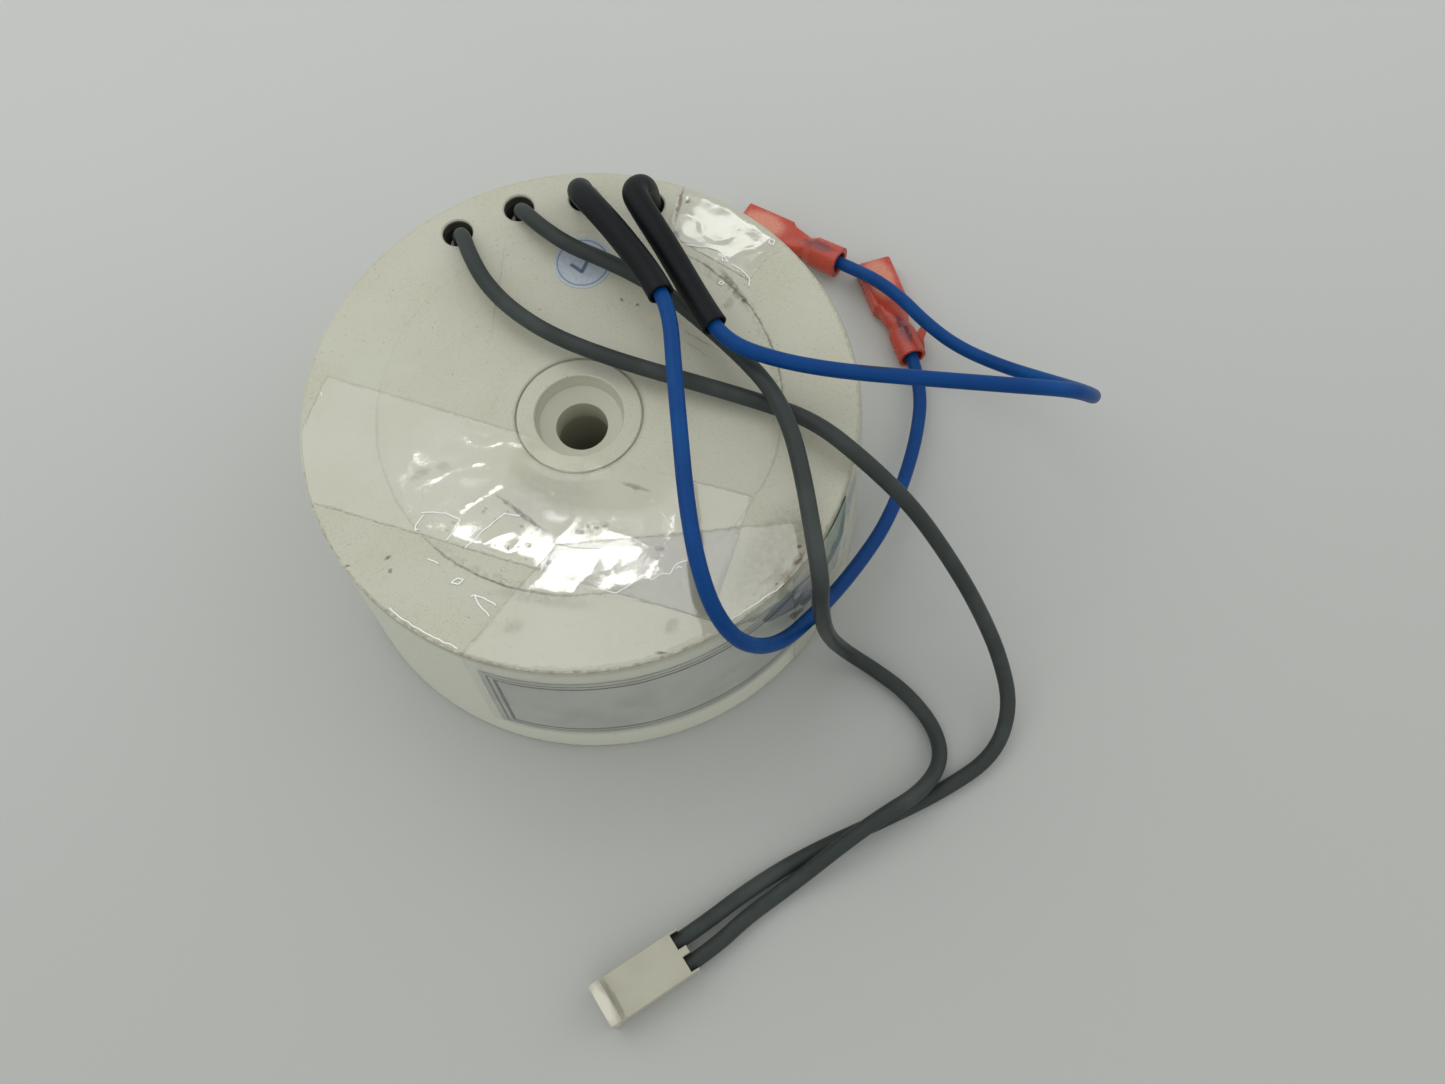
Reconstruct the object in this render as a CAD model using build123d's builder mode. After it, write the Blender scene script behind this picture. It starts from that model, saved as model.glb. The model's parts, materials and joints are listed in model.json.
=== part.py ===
from build123d import *
from math import cos, pi, radians, sin, sqrt, tan
import os

# Potted toroidal transformer in a round moulded can, with four flexible leads.
# Millimetres. The origin is the centre of the can's base, and +Z runs up the can's axis.
os.makedirs("parts", exist_ok=True)

# Can: a drafted cup, open at the base, with a slightly dished top
can_base_radius = 52.2
can_top_radius = 50.0
can_height = 44.4
can_wall = 2.4
can_top_thickness = 2.5
can_rim_round = 0.6
can_foot_chamfer = 0.4
dish_radius = 36.4
dish_flat_radius = 15.0
dish_depth = 1.0

# Lead outlets, evenly spaced on an arc near the rim
outlet_circle_radius = 44.2
outlet_radius = 2.9
outlet_first_angle = 59.6
outlet_pitch_angle = 16.4
outlet_count = 4
outlet_chamfer = 0.25
outlet_well_depth = 4.9

# Centre bush, pressed in a little off the can's axis
bush_x = -0.6
bush_y = -1.7
bush_radius = 11.35
bush_seam = 0.3
bush_edge_round = 0.3
seat_mouth_radius = 8.1
seat_wall_radius = 7.5
seat_wall_depth = 3.0
seat_depth = 4.6
bolt_hole_radius = 4.75
bolt_hole_length = 5.0
lower_bore_radius = 6.0

# Resin fill under the can's top, a little short of the open base
resin_recess = 0.8

# Wound core, lying level in the resin
core_inner_radius = 22.0
core_outer_radius = 37.0
core_height = 25.0
core_mid_height = 21.4
core_edge_round = 0.8
winding_layers = {
    "core_insulation": 0.5,
    "primary_winding": 1.6,
    "interlayer_insulation": 0.5,
    "secondary_winding": 2.2,
    "outer_wrap": 0.5,
}

# Joints from winding wire to lead, and the thermal cut-out, beside the wound core
splice_circle_radius = 44.9
splice_radius = 2.0
splice_length = 13.0
cutout_angle = 43.0
cutout_circle_radius = 44.85
cutout_size = (3.6, 8.0, 14.0)
cutout_round = 0.8

# Leads and sleeves
grey_diameter = 3.0
blue_diameter = 2.8
sleeve_diameter = 4.7
sleeve_wall = 0.5
sleeve_last_corners = {"blue_a": 5, "blue_b": 6}

# Wire housing of the grey leads, two ways side by side
housing_x = -5.77
housing_y = -92.32
housing_angle = 17.5
housing_length = 18.4
housing_width = 8.4
housing_height = 6.4
housing_round = 0.3
way_pitch = 4.5
way_height = 3.4
way_size = (3.1, 3.5)
step_depth = 1.6
ridge_length = 2.2
ridge_rise = 1.1
mating_opening = 1.9
mating_wall = 2.6
lance_window = (3.0, 1.5)
lance_window_place = 9.0
lead_seat_depth = 4.7

# Crimp contacts in the wire housing
contact_clearance = 0.1
contact_socket = (7.0, 2.3, 2.5)
contact_bore = 1.3
contact_crimp_radius = 1.25
contact_crimp_length = 3.3

# Insulated push-on terminals of the blue leads: mouth, heading, downward tilt, and the cover's
# radius at its mouth and at the end of its barrel, which the crimping left uneven
terminal_places = {
    "a": ((72.0, 13.6, 3.45), 92.0, 2.5, 3.05, 3.0),
    "b": ((63.5, 40.1, 5.0), 132.5, 6.0, 3.45, 3.3),
}
cover_length = 25.2
cover_barrel_end = 6.4
cover_neck_start = 8.2
cover_neck_radius = 2.45
cover_shoulder_start = 12.8
cover_shoulder_size = (6.2, 4.4)
cover_box_start = 13.8
cover_box_size = (7.9, 4.6)
cover_box_round = 1.0
cover_mouth_bore_radius = 2.35
cover_mouth_bore_depth = 2.0
cover_bore_radius = 1.95
cover_slot_size = (6.9, 3.2)
cover_slot_start = 14.2

# Wing and dent that the crimping pressed into the cover of terminal a, across and along it
crimp_wing = [(2.0, 0.4), (3.0, 0.5), (3.9, 3.5), (5.3, 5.3), (4.6, 6.8), (3.0, 5.4), (2.0, 5.4)]
crimp_wing_thickness = 1.2
crimp_dent_place = (0.7, 4.6)
crimp_dent_radius = 1.0
crimp_dent_depth = 0.45

# Folded brass receptacle inside each cover
sheet_thickness = 0.4
crimp_start = 2.0
crimp_end = 7.2
crimp_radius = 1.9
crimp_grip_radius = 1.47
crimp_grip_end = 4.1
crimp_core_radius = 0.8
neck_end = 14.6
neck_width = 3.0
receiver_end = 22.4
receiver_width = 6.6
curl_radius = 1.15
curl_opening = 1.1

# Paper label on the wall, and the small stickers
label_start_angle = -124.0
label_end_angle = -44.0
label_low = 10.0
label_high = 38.5
label_thickness = 0.12
mark_x = 7.2
mark_y = 28.9
mark_radius = 5.5
mark_thickness = 0.1
patch_start_angle = -46.0
patch_end_angle = -35.5
patch_low = 27.0
patch_high = 42.0

# Clear tape over the top, folded over the rim, as outlines seen from above
tape_thickness = 0.08
tape_outlines = {
    "tape_left": ([(-56, -2.1), (12, -45.9), (25, -25.7), (-43, 18)], 30.0),
    "tape_front": ([(-38, -47), (-9.8, -25.4), (34, -33), (42, -56), (-28, -62)], 9.0),
    "tape_back": ([(35, 51), (24.6, 32.5), (26.1, 28.1), (36.1, 16.3), (40.4, 19.9), (54, 27)], 24.0),
}
tape_lift = {"tape_left": 0.0, "tape_front": 0.24, "tape_back": 0.0}

# Lead routes, as corner points from the resin well outwards
grey_a_route = [
    (-14.1, 41.6, 39.5),
    (-14.1, 41.6, 43.2),
    (-13.3, 39.6, 46.7),
    (-12.7, 33.4, 48.0),
    (-11.1, 26.5, 48.2),
    (-7.2, 19.5, 47.6),
    (-0.8, 12.3, 47.2),
    (9.2, 4.6, 47.0),
    (21.1, -3.1, 46.8),
    (31.6, -10.2, 46.8),
    (38.8, -17.2, 49.0),
    (44.6, -26.4, 49.0),
    (51.9, -33.1, 40.0),
    (57.8, -40.1, 29.0),
    (62.5, -47.6, 19.0),
    (65.5, -56.6, 11.0),
    (65.6, -65.7, 5.2),
    (60.0, -73.2, 2.2),
    (49.0, -76.7, 1.8),
    (37.2, -78.9, 1.8),
    (25.8, -80.5, 1.8),
    (16.5, -82.3, 1.8),
    (7.3, -85.0, 2.2),
    (-2.73, -89.0, 3.2),
    (-10.93, -91.59, 3.4),
]
grey_b_route = [
    (-1.6, 43.9, 39.5),
    (-1.6, 43.9, 43.2),
    (-1.4, 41.9, 46.7),
    (1.2, 36.2, 48.2),
    (5.3, 30.9, 47.8),
    (12.3, 25.3, 47.2),
    (19.8, 17.3, 47.2),
    (25.1, 8.6, 47.4),
    (29.7, -0.7, 48.6),
    (32.6, -10.3, 52.0),
    (33.7, -18.8, 52.4),
    (33.1, -28.4, 52.0),
    (31.9, -37.5, 51.9),
    (31.1, -43.3, 52.0),
    (30.8, -46.6, 49.5),
    (30.6, -47.6, 44.5),
    (31.4, -47.9, 35.2),
    (32.8, -47.2, 25.6),
    (35.1, -46.0, 14.0),
    (38.6, -46.1, 3.8),
    (43.2, -50.5, 1.8),
    (48.0, -57.0, 1.8),
    (51.0, -65.1, 1.8),
    (49.7, -71.9, 3.6),
    (43.8, -76.6, 6.6),
    (35.5, -78.9, 6.6),
    (27.8, -81.5, 6.2),
    (20.1, -84.4, 3.8),
    (12.9, -87.0, 1.9),
    (6.2, -89.4, 2.3),
    (-1.76, -93.41, 3.2),
    (-9.58, -95.88, 3.4),
]
blue_a_route = [
    (10.7, 42.9, 39.5),
    (10.7, 42.9, 46.5),
    (9.6, 38.8, 52.5),
    (11.3, 32.6, 55.5),
    (14.2, 24.4, 57.0),
    (17.7, 13.2, 58.0),
    (18.9, 5.4, 58.5),
    (16.9, -5.2, 58.6),
    (14.8, -17.4, 58.4),
    (12.7, -29.5, 58.7),
    (11.6, -40.5, 58.0),
    (12.4, -48.4, 54.0),
    (16.0, -51.7, 45.0),
    (22.9, -49.9, 33.5),
    (31.6, -43.5, 24.6),
    (41.9, -35.2, 17.0),
    (54.0, -24.0, 11.0),
    (66.2, -6.5, 4.8),
    (72.2, 7.6, 3.7),
    (71.87, 17.6, 3.28),
]
blue_b_route = [
    (22.4, 38.1, 39.5),
    (22.4, 38.1, 46.2),
    (21.4, 36.2, 53.0),
    (18.8, 33.2, 56.0),
    (19.8, 28.0, 56.4),
    (22.1, 19.7, 55.5),
    (25.0, 6.7, 54.5),
    (27.3, -0.9, 54.5),
    (34.6, -6.3, 54.0),
    (44.3, -11.0, 53.5),
    (57.3, -16.4, 54.0),
    (72.0, -21.4, 53.0),
    (84.4, -23.7, 49.0),
    (91.8, -21.3, 38.0),
    (96.8, -12.3, 22.0),
    (94.4, -3.7, 12.6),
    (87.4, 3.8, 9.2),
    (80.2, 10.8, 9.0),
    (75.6, 18.2, 9.2),
    (72.5, 25.0, 9.6),
    (69.0, 31.2, 8.9),
    (65.65, 37.75, 5.35),
    (60.8, 43.0, 4.55),
]


def wall_radius(height):
    """Radius of the can's outside at a height above the base."""
    return can_base_radius + (can_top_radius - can_base_radius) * height / can_height


def half_section(grow):
    """Half section of the can's outside, grown outwards, on the XZ plane."""
    with BuildSketch(Plane.XZ) as section:
        with BuildLine():
            Polyline(
                (0, 0),
                (can_base_radius - can_foot_chamfer + grow, 0),
                (wall_radius(can_foot_chamfer) + grow, can_foot_chamfer),
                (can_top_radius + grow, can_height + grow),
                (dish_radius, can_height + grow),
                (dish_flat_radius, can_height - dish_depth + grow),
                (0, can_height - dish_depth + grow),
                close=True,
            )
        make_face()
        rim = section.vertices().group_by(Axis.Z)[-1].sort_by(Axis.X)[-1]
        fillet(rim, can_rim_round + grow)
    return section.sketch


def surface_skin(thickness, lift):
    """Thin skin that follows the can's outside, with its inner face lifted off it."""
    with BuildPart() as skin:
        add(half_section(lift + thickness))
        revolve(axis=Axis.Z)
        add(half_section(lift))
        revolve(axis=Axis.Z, mode=Mode.SUBTRACT)
    return skin.part


def write(piece, name):
    """Label a finished piece and write its file."""
    piece.part.label = name
    export_step(piece.part, f"parts/{name}.step")


# Moulded can
outlet_angles = [outlet_first_angle + outlet_pitch_angle * i for i in range(outlet_count)]
with BuildPart() as can:
    add(half_section(0))
    revolve(axis=Axis.Z)
    with BuildSketch(Plane.XZ):
        with BuildLine():
            Polyline(
                (0, 0),
                (can_base_radius - can_wall, 0),
                (can_top_radius - can_wall, can_height - can_top_thickness),
                (0, can_height - can_top_thickness),
                close=True,
            )
        make_face()
    revolve(axis=Axis.Z, mode=Mode.SUBTRACT)
    with BuildSketch(Plane.XY.offset(can_height)):
        with Locations((bush_x, bush_y)):
            Circle(bush_radius + bush_seam)
    extrude(amount=-2 * can_top_thickness, mode=Mode.SUBTRACT)
    with BuildSketch(Plane.XY.offset(can_height)):
        for angle in outlet_angles:
            with Locations((outlet_circle_radius * cos(radians(angle)), outlet_circle_radius * sin(radians(angle)))):
                Circle(outlet_radius)
    extrude(amount=-can_top_thickness, mode=Mode.SUBTRACT)
    outlet_mouths = can.edges().filter_by(GeomType.CIRCLE).filter_by(
        lambda e: abs(e.radius - outlet_radius) < 0.01 and e.center().Z > can_height - 0.01
    )
    chamfer(outlet_mouths, outlet_chamfer)
write(can, "can")

# Centre bush with a seat for a bolt head and a bolt hole
bush_top = can_height - dish_depth
land_top = bush_top - seat_depth
with BuildPart() as bush:
    with BuildSketch(Plane(origin=(bush_x, bush_y, 0), x_dir=(1, 0, 0), z_dir=(0, -1, 0))):
        with BuildLine():
            Polyline(
                (lower_bore_radius, 0),
                (bush_radius, 0),
                (bush_radius, bush_top),
                (seat_mouth_radius, bush_top),
                (seat_wall_radius, bush_top - seat_wall_depth),
                (bolt_hole_radius, land_top),
                (bolt_hole_radius, land_top - bolt_hole_length),
                (lower_bore_radius, land_top - bolt_hole_length),
                close=True,
            )
        make_face()
    revolve(axis=Axis((bush_x, bush_y, 0), (0, 0, 1)))
    top_edges = bush.edges().filter_by(GeomType.CIRCLE).group_by(Axis.Z)[-1]
    fillet(top_edges, bush_edge_round)
write(bush, "centre_bush")

# Wound core: steel strip, then each layer of insulation and winding round it
core_width = core_outer_radius - core_inner_radius
core_mid_radius = (core_outer_radius + core_inner_radius) / 2


def wound_section(growth):
    """Section of the wound core on the XZ plane, with its corners cut off, grown all round."""
    with BuildSketch(Plane.XZ) as section:
        with Locations((core_mid_radius, core_mid_height)):
            Rectangle(core_width + 2 * growth, core_height + 2 * growth)
        chamfer(section.vertices(), (2 - sqrt(2)) * (core_edge_round + growth))
    return section.sketch


with BuildPart() as core:
    add(wound_section(0))
    revolve(axis=Axis.Z)
write(core, "steel_core")

layer_inside = 0.0
for layer_name, layer_thickness in winding_layers.items():
    layer_outside = layer_inside + layer_thickness
    with BuildPart() as layer:
        add(wound_section(layer_outside))
        revolve(axis=Axis.Z)
        add(wound_section(layer_inside))
        revolve(axis=Axis.Z, mode=Mode.SUBTRACT)
    write(layer, layer_name)
    layer_inside = layer_outside
wound_growth = layer_inside

# Splices below the lead outlets
well_floor = can_height - outlet_well_depth
lead_names = ["blue_b", "blue_a", "grey_b", "grey_a"]
splice_places = {
    lead_name: (splice_circle_radius * cos(radians(angle)), splice_circle_radius * sin(radians(angle)))
    for lead_name, angle in zip(lead_names, outlet_angles)
}
for lead_name, place in splice_places.items():
    with BuildPart() as splice:
        with BuildSketch(Plane.XY.offset(well_floor - splice_length)):
            with Locations(place):
                Circle(splice_radius)
        extrude(amount=splice_length)
        fillet(splice.edges().group_by(Axis.Z)[0], splice_radius / 2)
    write(splice, f"splice_{lead_name}")

# Thermal cut-out against the winding
cutout_plane = Plane(
    origin=(
        cutout_circle_radius * cos(radians(cutout_angle)),
        cutout_circle_radius * sin(radians(cutout_angle)),
        core_mid_height - cutout_size[2] / 2,
    ),
    x_dir=(cos(radians(cutout_angle)), sin(radians(cutout_angle)), 0),
    z_dir=(0, 0, 1),
)
with BuildPart() as cutout:
    with BuildSketch(cutout_plane):
        RectangleRounded(cutout_size[0], cutout_size[1], cutout_round)
    extrude(amount=cutout_size[2])
write(cutout, "thermal_cutout")

# Resin fill round the wound core, the splices, the cut-out and the bush
with BuildPart() as resin:
    with BuildSketch(Plane.XZ):
        draft = (can_top_radius - can_base_radius) / (can_height - can_top_thickness)
        with BuildLine():
            Polyline(
                (0, resin_recess),
                (can_base_radius - can_wall + draft * resin_recess, resin_recess),
                (can_top_radius - can_wall, can_height - can_top_thickness),
                (0, can_height - can_top_thickness),
                close=True,
            )
        make_face()
    revolve(axis=Axis.Z)
    with BuildSketch(Plane.XY):
        with Locations((bush_x, bush_y)):
            Circle(bush_radius)
    extrude(amount=can_height, mode=Mode.SUBTRACT)
    add(wound_section(wound_growth))
    revolve(axis=Axis.Z, mode=Mode.SUBTRACT)
    with BuildSketch(Plane.XY.offset(well_floor)):
        for angle in outlet_angles:
            with Locations((outlet_circle_radius * cos(radians(angle)), outlet_circle_radius * sin(radians(angle)))):
                Circle(outlet_radius)
    extrude(amount=outlet_well_depth, mode=Mode.SUBTRACT)
    with BuildSketch(Plane.XY.offset(well_floor - splice_length)):
        for place in splice_places.values():
            with Locations(place):
                Circle(splice_radius)
    extrude(amount=splice_length, mode=Mode.SUBTRACT)
    with BuildSketch(cutout_plane):
        RectangleRounded(cutout_size[0], cutout_size[1], cutout_round)
    extrude(amount=cutout_size[2], mode=Mode.SUBTRACT)
write(resin, "resin_fill")


def corner_radii(points):
    """Largest bend radius that each corner's two runs leave room for."""
    radii = []
    for before, corner, after in zip(points, points[1:], points[2:]):
        run_in = Vector(*corner) - Vector(*before)
        run_out = Vector(*after) - Vector(*corner)
        half_turn = radians(run_in.get_angle(run_out)) / 2
        radii.append(0.45 * min(run_in.length, run_out.length) / tan(half_turn))
    return radii


def tube(points, radii, outer_diameter, inner_diameter, name):
    """Round tube along straight runs joined by tangent arcs, solid if it has no bore."""
    with BuildPart() as piece:
        with BuildLine() as path:
            FilletPolyline(*points, radius=radii)
        with BuildSketch(Plane(origin=path.line @ 0, z_dir=path.line % 0)):
            Circle(outer_diameter / 2)
            if inner_diameter:
                Circle(inner_diameter / 2, mode=Mode.SUBTRACT)
        sweep()
    section = pi / 4 * (outer_diameter**2 - inner_diameter**2)
    length = path.wire().length
    print(f"{name}: length {length:.1f}, volume ratio {piece.part.volume / (section * length):.4f}")
    print("  radii", " ".join(f"{radius:.1f}" for radius in radii))
    write(piece, name)


# Leads, and the sleeves on the two blue ones, which end half-way along a run
lead_routes = {
    "grey_a": (grey_a_route, grey_diameter),
    "grey_b": (grey_b_route, grey_diameter),
    "blue_a": (blue_a_route, blue_diameter),
    "blue_b": (blue_b_route, blue_diameter),
}
for lead_name, (route, diameter) in lead_routes.items():
    tube(route, corner_radii(route), diameter, 0, f"lead_{lead_name}")
    if lead_name in sleeve_last_corners:
        last_corner = sleeve_last_corners[lead_name]
        end_run = [Vector(*corner) for corner in route[last_corner : last_corner + 2]]
        sleeve_end = tuple((end_run[0] + end_run[1]) / 2)
        sleeve_route = route[: last_corner + 1] + [sleeve_end]
        sleeve_radii = corner_radii(route)[:last_corner]
        sleeve_bore = sleeve_diameter - 2 * sleeve_wall
        tube(sleeve_route, sleeve_radii, sleeve_diameter, sleeve_bore, f"sleeve_{lead_name}")

# Two-way wire housing, lying flat, with its wire end towards the leads
housing_x_dir = (cos(radians(housing_angle)), sin(radians(housing_angle)), 0)
housing_floor = Plane(origin=(housing_x, housing_y, 0), x_dir=housing_x_dir, z_dir=(0, 0, 1))
wire_end = Plane(origin=(housing_x, housing_y, 0), x_dir=(-housing_x_dir[1], housing_x_dir[0], 0), z_dir=housing_x_dir)
mating_end = wire_end.offset(-housing_length)
way_offsets = [way_pitch / 2, -way_pitch / 2]
with BuildPart() as housing:
    with BuildSketch(housing_floor):
        with Locations((-housing_length / 2, 0)):
            Rectangle(housing_length, housing_width)
    extrude(amount=housing_height)
    with BuildSketch(housing_floor.offset(housing_height)):
        with Locations((-housing_length + ridge_length / 2, 0)):
            Rectangle(ridge_length, housing_width)
    extrude(amount=ridge_rise)
    long_edges = housing.edges().filter_by(lambda e: abs((e % 0).dot(housing_floor.x_dir)) > 0.99)
    fillet(long_edges, housing_round)
    with BuildSketch(wire_end):
        for way_offset in way_offsets:
            with Locations((way_offset, way_height)):
                Rectangle(*way_size)
    extrude(amount=-(housing_length - mating_wall), mode=Mode.SUBTRACT)
    with BuildSketch(mating_end):
        for way_offset in way_offsets:
            with Locations((way_offset, way_height)):
                Rectangle(mating_opening, mating_opening)
    extrude(amount=mating_wall, mode=Mode.SUBTRACT)
    with BuildSketch(wire_end):
        for way_offset in way_offsets:
            with Locations((way_offset, (way_height + housing_height) / 2)):
                Rectangle(way_size[0], housing_height - way_height)
    extrude(amount=-step_depth, mode=Mode.SUBTRACT)
    with BuildSketch(housing_floor):
        for way_offset in way_offsets:
            with Locations((-lance_window_place, way_offset)):
                Rectangle(*lance_window)
    extrude(amount=way_height - way_size[1] / 2, mode=Mode.SUBTRACT)
write(housing, "wire_housing")

# Crimp contacts, seated in the two ways
for lead_name, way_offset in zip(["grey_a", "grey_b"], way_offsets):
    crimp_plane = wire_end.offset(-lead_seat_depth - contact_clearance)
    socket_plane = crimp_plane.offset(-contact_crimp_length)
    with BuildPart() as contact:
        with BuildSketch(crimp_plane):
            with Locations((way_offset, way_height)):
                Circle(contact_crimp_radius)
        extrude(amount=-contact_crimp_length)
        with BuildSketch(socket_plane):
            with Locations((way_offset, way_height)):
                Rectangle(contact_socket[1], contact_socket[2])
                Rectangle(contact_bore, contact_bore, mode=Mode.SUBTRACT)
        extrude(amount=-contact_socket[0])
    write(contact, f"contact_{lead_name}")

# Insulated push-on terminals: moulded cover and folded receptacle
for suffix, (mouth_centre, heading, tilt, flare_radius, barrel_radius) in terminal_places.items():
    level = cos(radians(tilt))
    forward = (cos(radians(heading)) * level, sin(radians(heading)) * level, -sin(radians(tilt)))
    across = (sin(radians(heading)), -cos(radians(heading)), 0)
    mouth = Plane(origin=mouth_centre, x_dir=across, z_dir=forward)
    lying = Plane(origin=mouth_centre, x_dir=across, z_dir=-mouth.y_dir)
    with BuildPart() as cover:
        for start, end, start_radius, end_radius in (
            (0, cover_barrel_end, flare_radius, barrel_radius),
            (cover_barrel_end, cover_neck_start, barrel_radius, cover_neck_radius),
        ):
            with BuildSketch(mouth.offset(start)):
                Circle(start_radius)
            with BuildSketch(mouth.offset(end)):
                Circle(end_radius)
            loft()
        with BuildSketch(mouth.offset(cover_neck_start)):
            Circle(cover_neck_radius)
        with BuildSketch(mouth.offset(cover_shoulder_start)):
            RectangleRounded(*cover_shoulder_size, cover_box_round)
        loft()
        with BuildSketch(mouth.offset(cover_shoulder_start)):
            RectangleRounded(*cover_shoulder_size, cover_box_round)
        with BuildSketch(mouth.offset(cover_box_start)):
            RectangleRounded(*cover_box_size, cover_box_round)
        loft()
        with BuildSketch(mouth.offset(cover_box_start)):
            RectangleRounded(*cover_box_size, cover_box_round)
        extrude(amount=cover_length - cover_box_start)
        if suffix == "a":
            with BuildSketch(lying):
                with BuildLine():
                    Polyline(*crimp_wing, close=True)
                make_face()
            extrude(amount=crimp_wing_thickness / 2, both=True)
            with Locations(lying.offset(barrel_radius + crimp_dent_radius - crimp_dent_depth)):
                with Locations(crimp_dent_place):
                    Sphere(crimp_dent_radius, mode=Mode.SUBTRACT)
        with BuildSketch(mouth):
            Circle(cover_mouth_bore_radius)
        extrude(amount=cover_mouth_bore_depth, mode=Mode.SUBTRACT)
        with BuildSketch(mouth):
            Circle(cover_bore_radius)
        extrude(amount=cover_slot_start, mode=Mode.SUBTRACT)
        with BuildSketch(mouth.offset(cover_slot_start)):
            Rectangle(*cover_slot_size)
        extrude(amount=cover_length - cover_slot_start, mode=Mode.SUBTRACT)
    write(cover, f"terminal_cover_{suffix}")

    with BuildPart() as receptacle:
        with BuildSketch(mouth.offset(crimp_start)):
            Circle(crimp_radius)
            Circle(crimp_grip_radius, mode=Mode.SUBTRACT)
        extrude(amount=crimp_grip_end - crimp_start)
        with BuildSketch(mouth.offset(crimp_grip_end)):
            Circle(crimp_radius)
            Circle(crimp_core_radius, mode=Mode.SUBTRACT)
        extrude(amount=crimp_end - crimp_grip_end)
        with BuildSketch(mouth.offset(crimp_end)):
            with Locations((0, -curl_radius + sheet_thickness / 2)):
                Rectangle(neck_width, sheet_thickness)
        extrude(amount=neck_end - crimp_end)
        with BuildSketch(mouth.offset(neck_end)):
            with Locations((receiver_width / 2 - curl_radius, 0), (-receiver_width / 2 + curl_radius, 0)):
                Circle(curl_radius)
                Circle(curl_radius - sheet_thickness, mode=Mode.SUBTRACT)
            with Locations((0, 0)):
                Rectangle(receiver_width - 2 * curl_radius, curl_opening, mode=Mode.SUBTRACT)
            with Locations((0, -curl_radius + sheet_thickness / 2)):
                Rectangle(receiver_width - 2 * curl_radius, sheet_thickness)
        extrude(amount=receiver_end - neck_end)
    write(receptacle, f"receptacle_{suffix}")


def wall_sheet(start_angle, end_angle, low, high, thickness, lift, name):
    """Thin sheet wrapped round the can's wall between two angles and two heights."""
    start = radians(start_angle)
    plane = Plane(origin=(0, 0, 0), x_dir=(cos(start), sin(start), 0), z_dir=(sin(start), -cos(start), 0))
    with BuildPart() as sheet:
        with BuildSketch(plane):
            with BuildLine():
                Polyline(
                    (wall_radius(low) + lift, low),
                    (wall_radius(low) + lift + thickness, low),
                    (wall_radius(high) + lift + thickness, high),
                    (wall_radius(high) + lift, high),
                    close=True,
                )
            make_face()
        revolve(axis=Axis.Z, revolution_arc=end_angle - start_angle)
    write(sheet, name)


# Paper label and green patch on the wall
wall_sheet(label_start_angle, label_end_angle, label_low, label_high, label_thickness, 0, "paper_label")
wall_sheet(patch_start_angle, patch_end_angle, patch_low, patch_high, mark_thickness, label_thickness, "green_patch")

# Round inspection sticker on the top
with BuildPart() as mark:
    with BuildSketch(Plane.XY):
        with Locations((mark_x, mark_y)):
            Circle(mark_radius)
    extrude(amount=2 * can_height)
    add(surface_skin(mark_thickness, 0), mode=Mode.INTERSECT)
write(mark, "round_sticker")

# Strips of clear tape
for tape_name, (outline, tape_low) in tape_outlines.items():
    with BuildPart() as tape:
        with BuildSketch(Plane.XY.offset(tape_low)):
            with BuildLine():
                Polyline(*outline, close=True)
            make_face()
        extrude(amount=can_height)
        add(surface_skin(tape_thickness, tape_lift[tape_name]), mode=Mode.INTERSECT)
    write(tape, tape_name)
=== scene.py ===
import json
import logging
import math
from dataclasses import dataclass
from enum import Enum
from typing import Any, Optional, Sequence, Union

import bpy
import numpy as np
from mathutils import Matrix, Vector, geometry, noise

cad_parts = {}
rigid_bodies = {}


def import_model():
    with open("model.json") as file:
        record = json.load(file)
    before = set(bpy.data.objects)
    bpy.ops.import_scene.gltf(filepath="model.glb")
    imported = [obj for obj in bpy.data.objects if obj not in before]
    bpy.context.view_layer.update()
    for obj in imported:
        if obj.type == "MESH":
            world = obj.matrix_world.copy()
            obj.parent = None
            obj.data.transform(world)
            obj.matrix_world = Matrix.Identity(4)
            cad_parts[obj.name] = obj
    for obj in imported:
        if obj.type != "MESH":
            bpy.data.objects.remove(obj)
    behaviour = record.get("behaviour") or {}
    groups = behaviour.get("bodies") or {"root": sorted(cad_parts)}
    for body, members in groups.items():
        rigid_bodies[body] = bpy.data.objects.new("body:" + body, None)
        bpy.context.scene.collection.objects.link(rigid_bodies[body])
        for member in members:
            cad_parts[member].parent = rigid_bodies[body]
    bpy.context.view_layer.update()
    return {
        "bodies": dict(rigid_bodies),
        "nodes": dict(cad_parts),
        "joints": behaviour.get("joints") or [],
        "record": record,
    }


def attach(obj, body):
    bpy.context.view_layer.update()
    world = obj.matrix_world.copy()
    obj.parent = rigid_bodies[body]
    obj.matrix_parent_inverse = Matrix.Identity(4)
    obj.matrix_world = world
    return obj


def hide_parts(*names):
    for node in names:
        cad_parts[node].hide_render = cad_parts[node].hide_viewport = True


Point = tuple[float, float, float]
Flat = tuple[float, float]
Colour = tuple[float, float, float, float]
Input = Union["Value", float, tuple]

LOG = logging.getLogger("toroidal_transformer")
MM = 0.001
ROOT = "root"
LINE_CORE = 0.3  # Share of a soft line's half width that is at full strength

# The can, in millimetres and degrees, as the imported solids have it
CAN_TOP_RADIUS = 50.0
CAN_BASE_RADIUS = 52.2
CAN_HEIGHT = 44.4
DISH_RADIUS = 36.4
DISH_FLAT_RADIUS = 15.0
DISH_DEPTH = 1.0
DISH_FLOOR = CAN_HEIGHT - DISH_DEPTH
BUSH_X = -0.6
BUSH_Y = -1.7
BUSH_RADIUS = 11.35
OUTLET_CIRCLE = 44.2
OUTLET_START = 59.6
OUTLET_PITCH = 16.4
OUTLET_COUNT = 4

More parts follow.
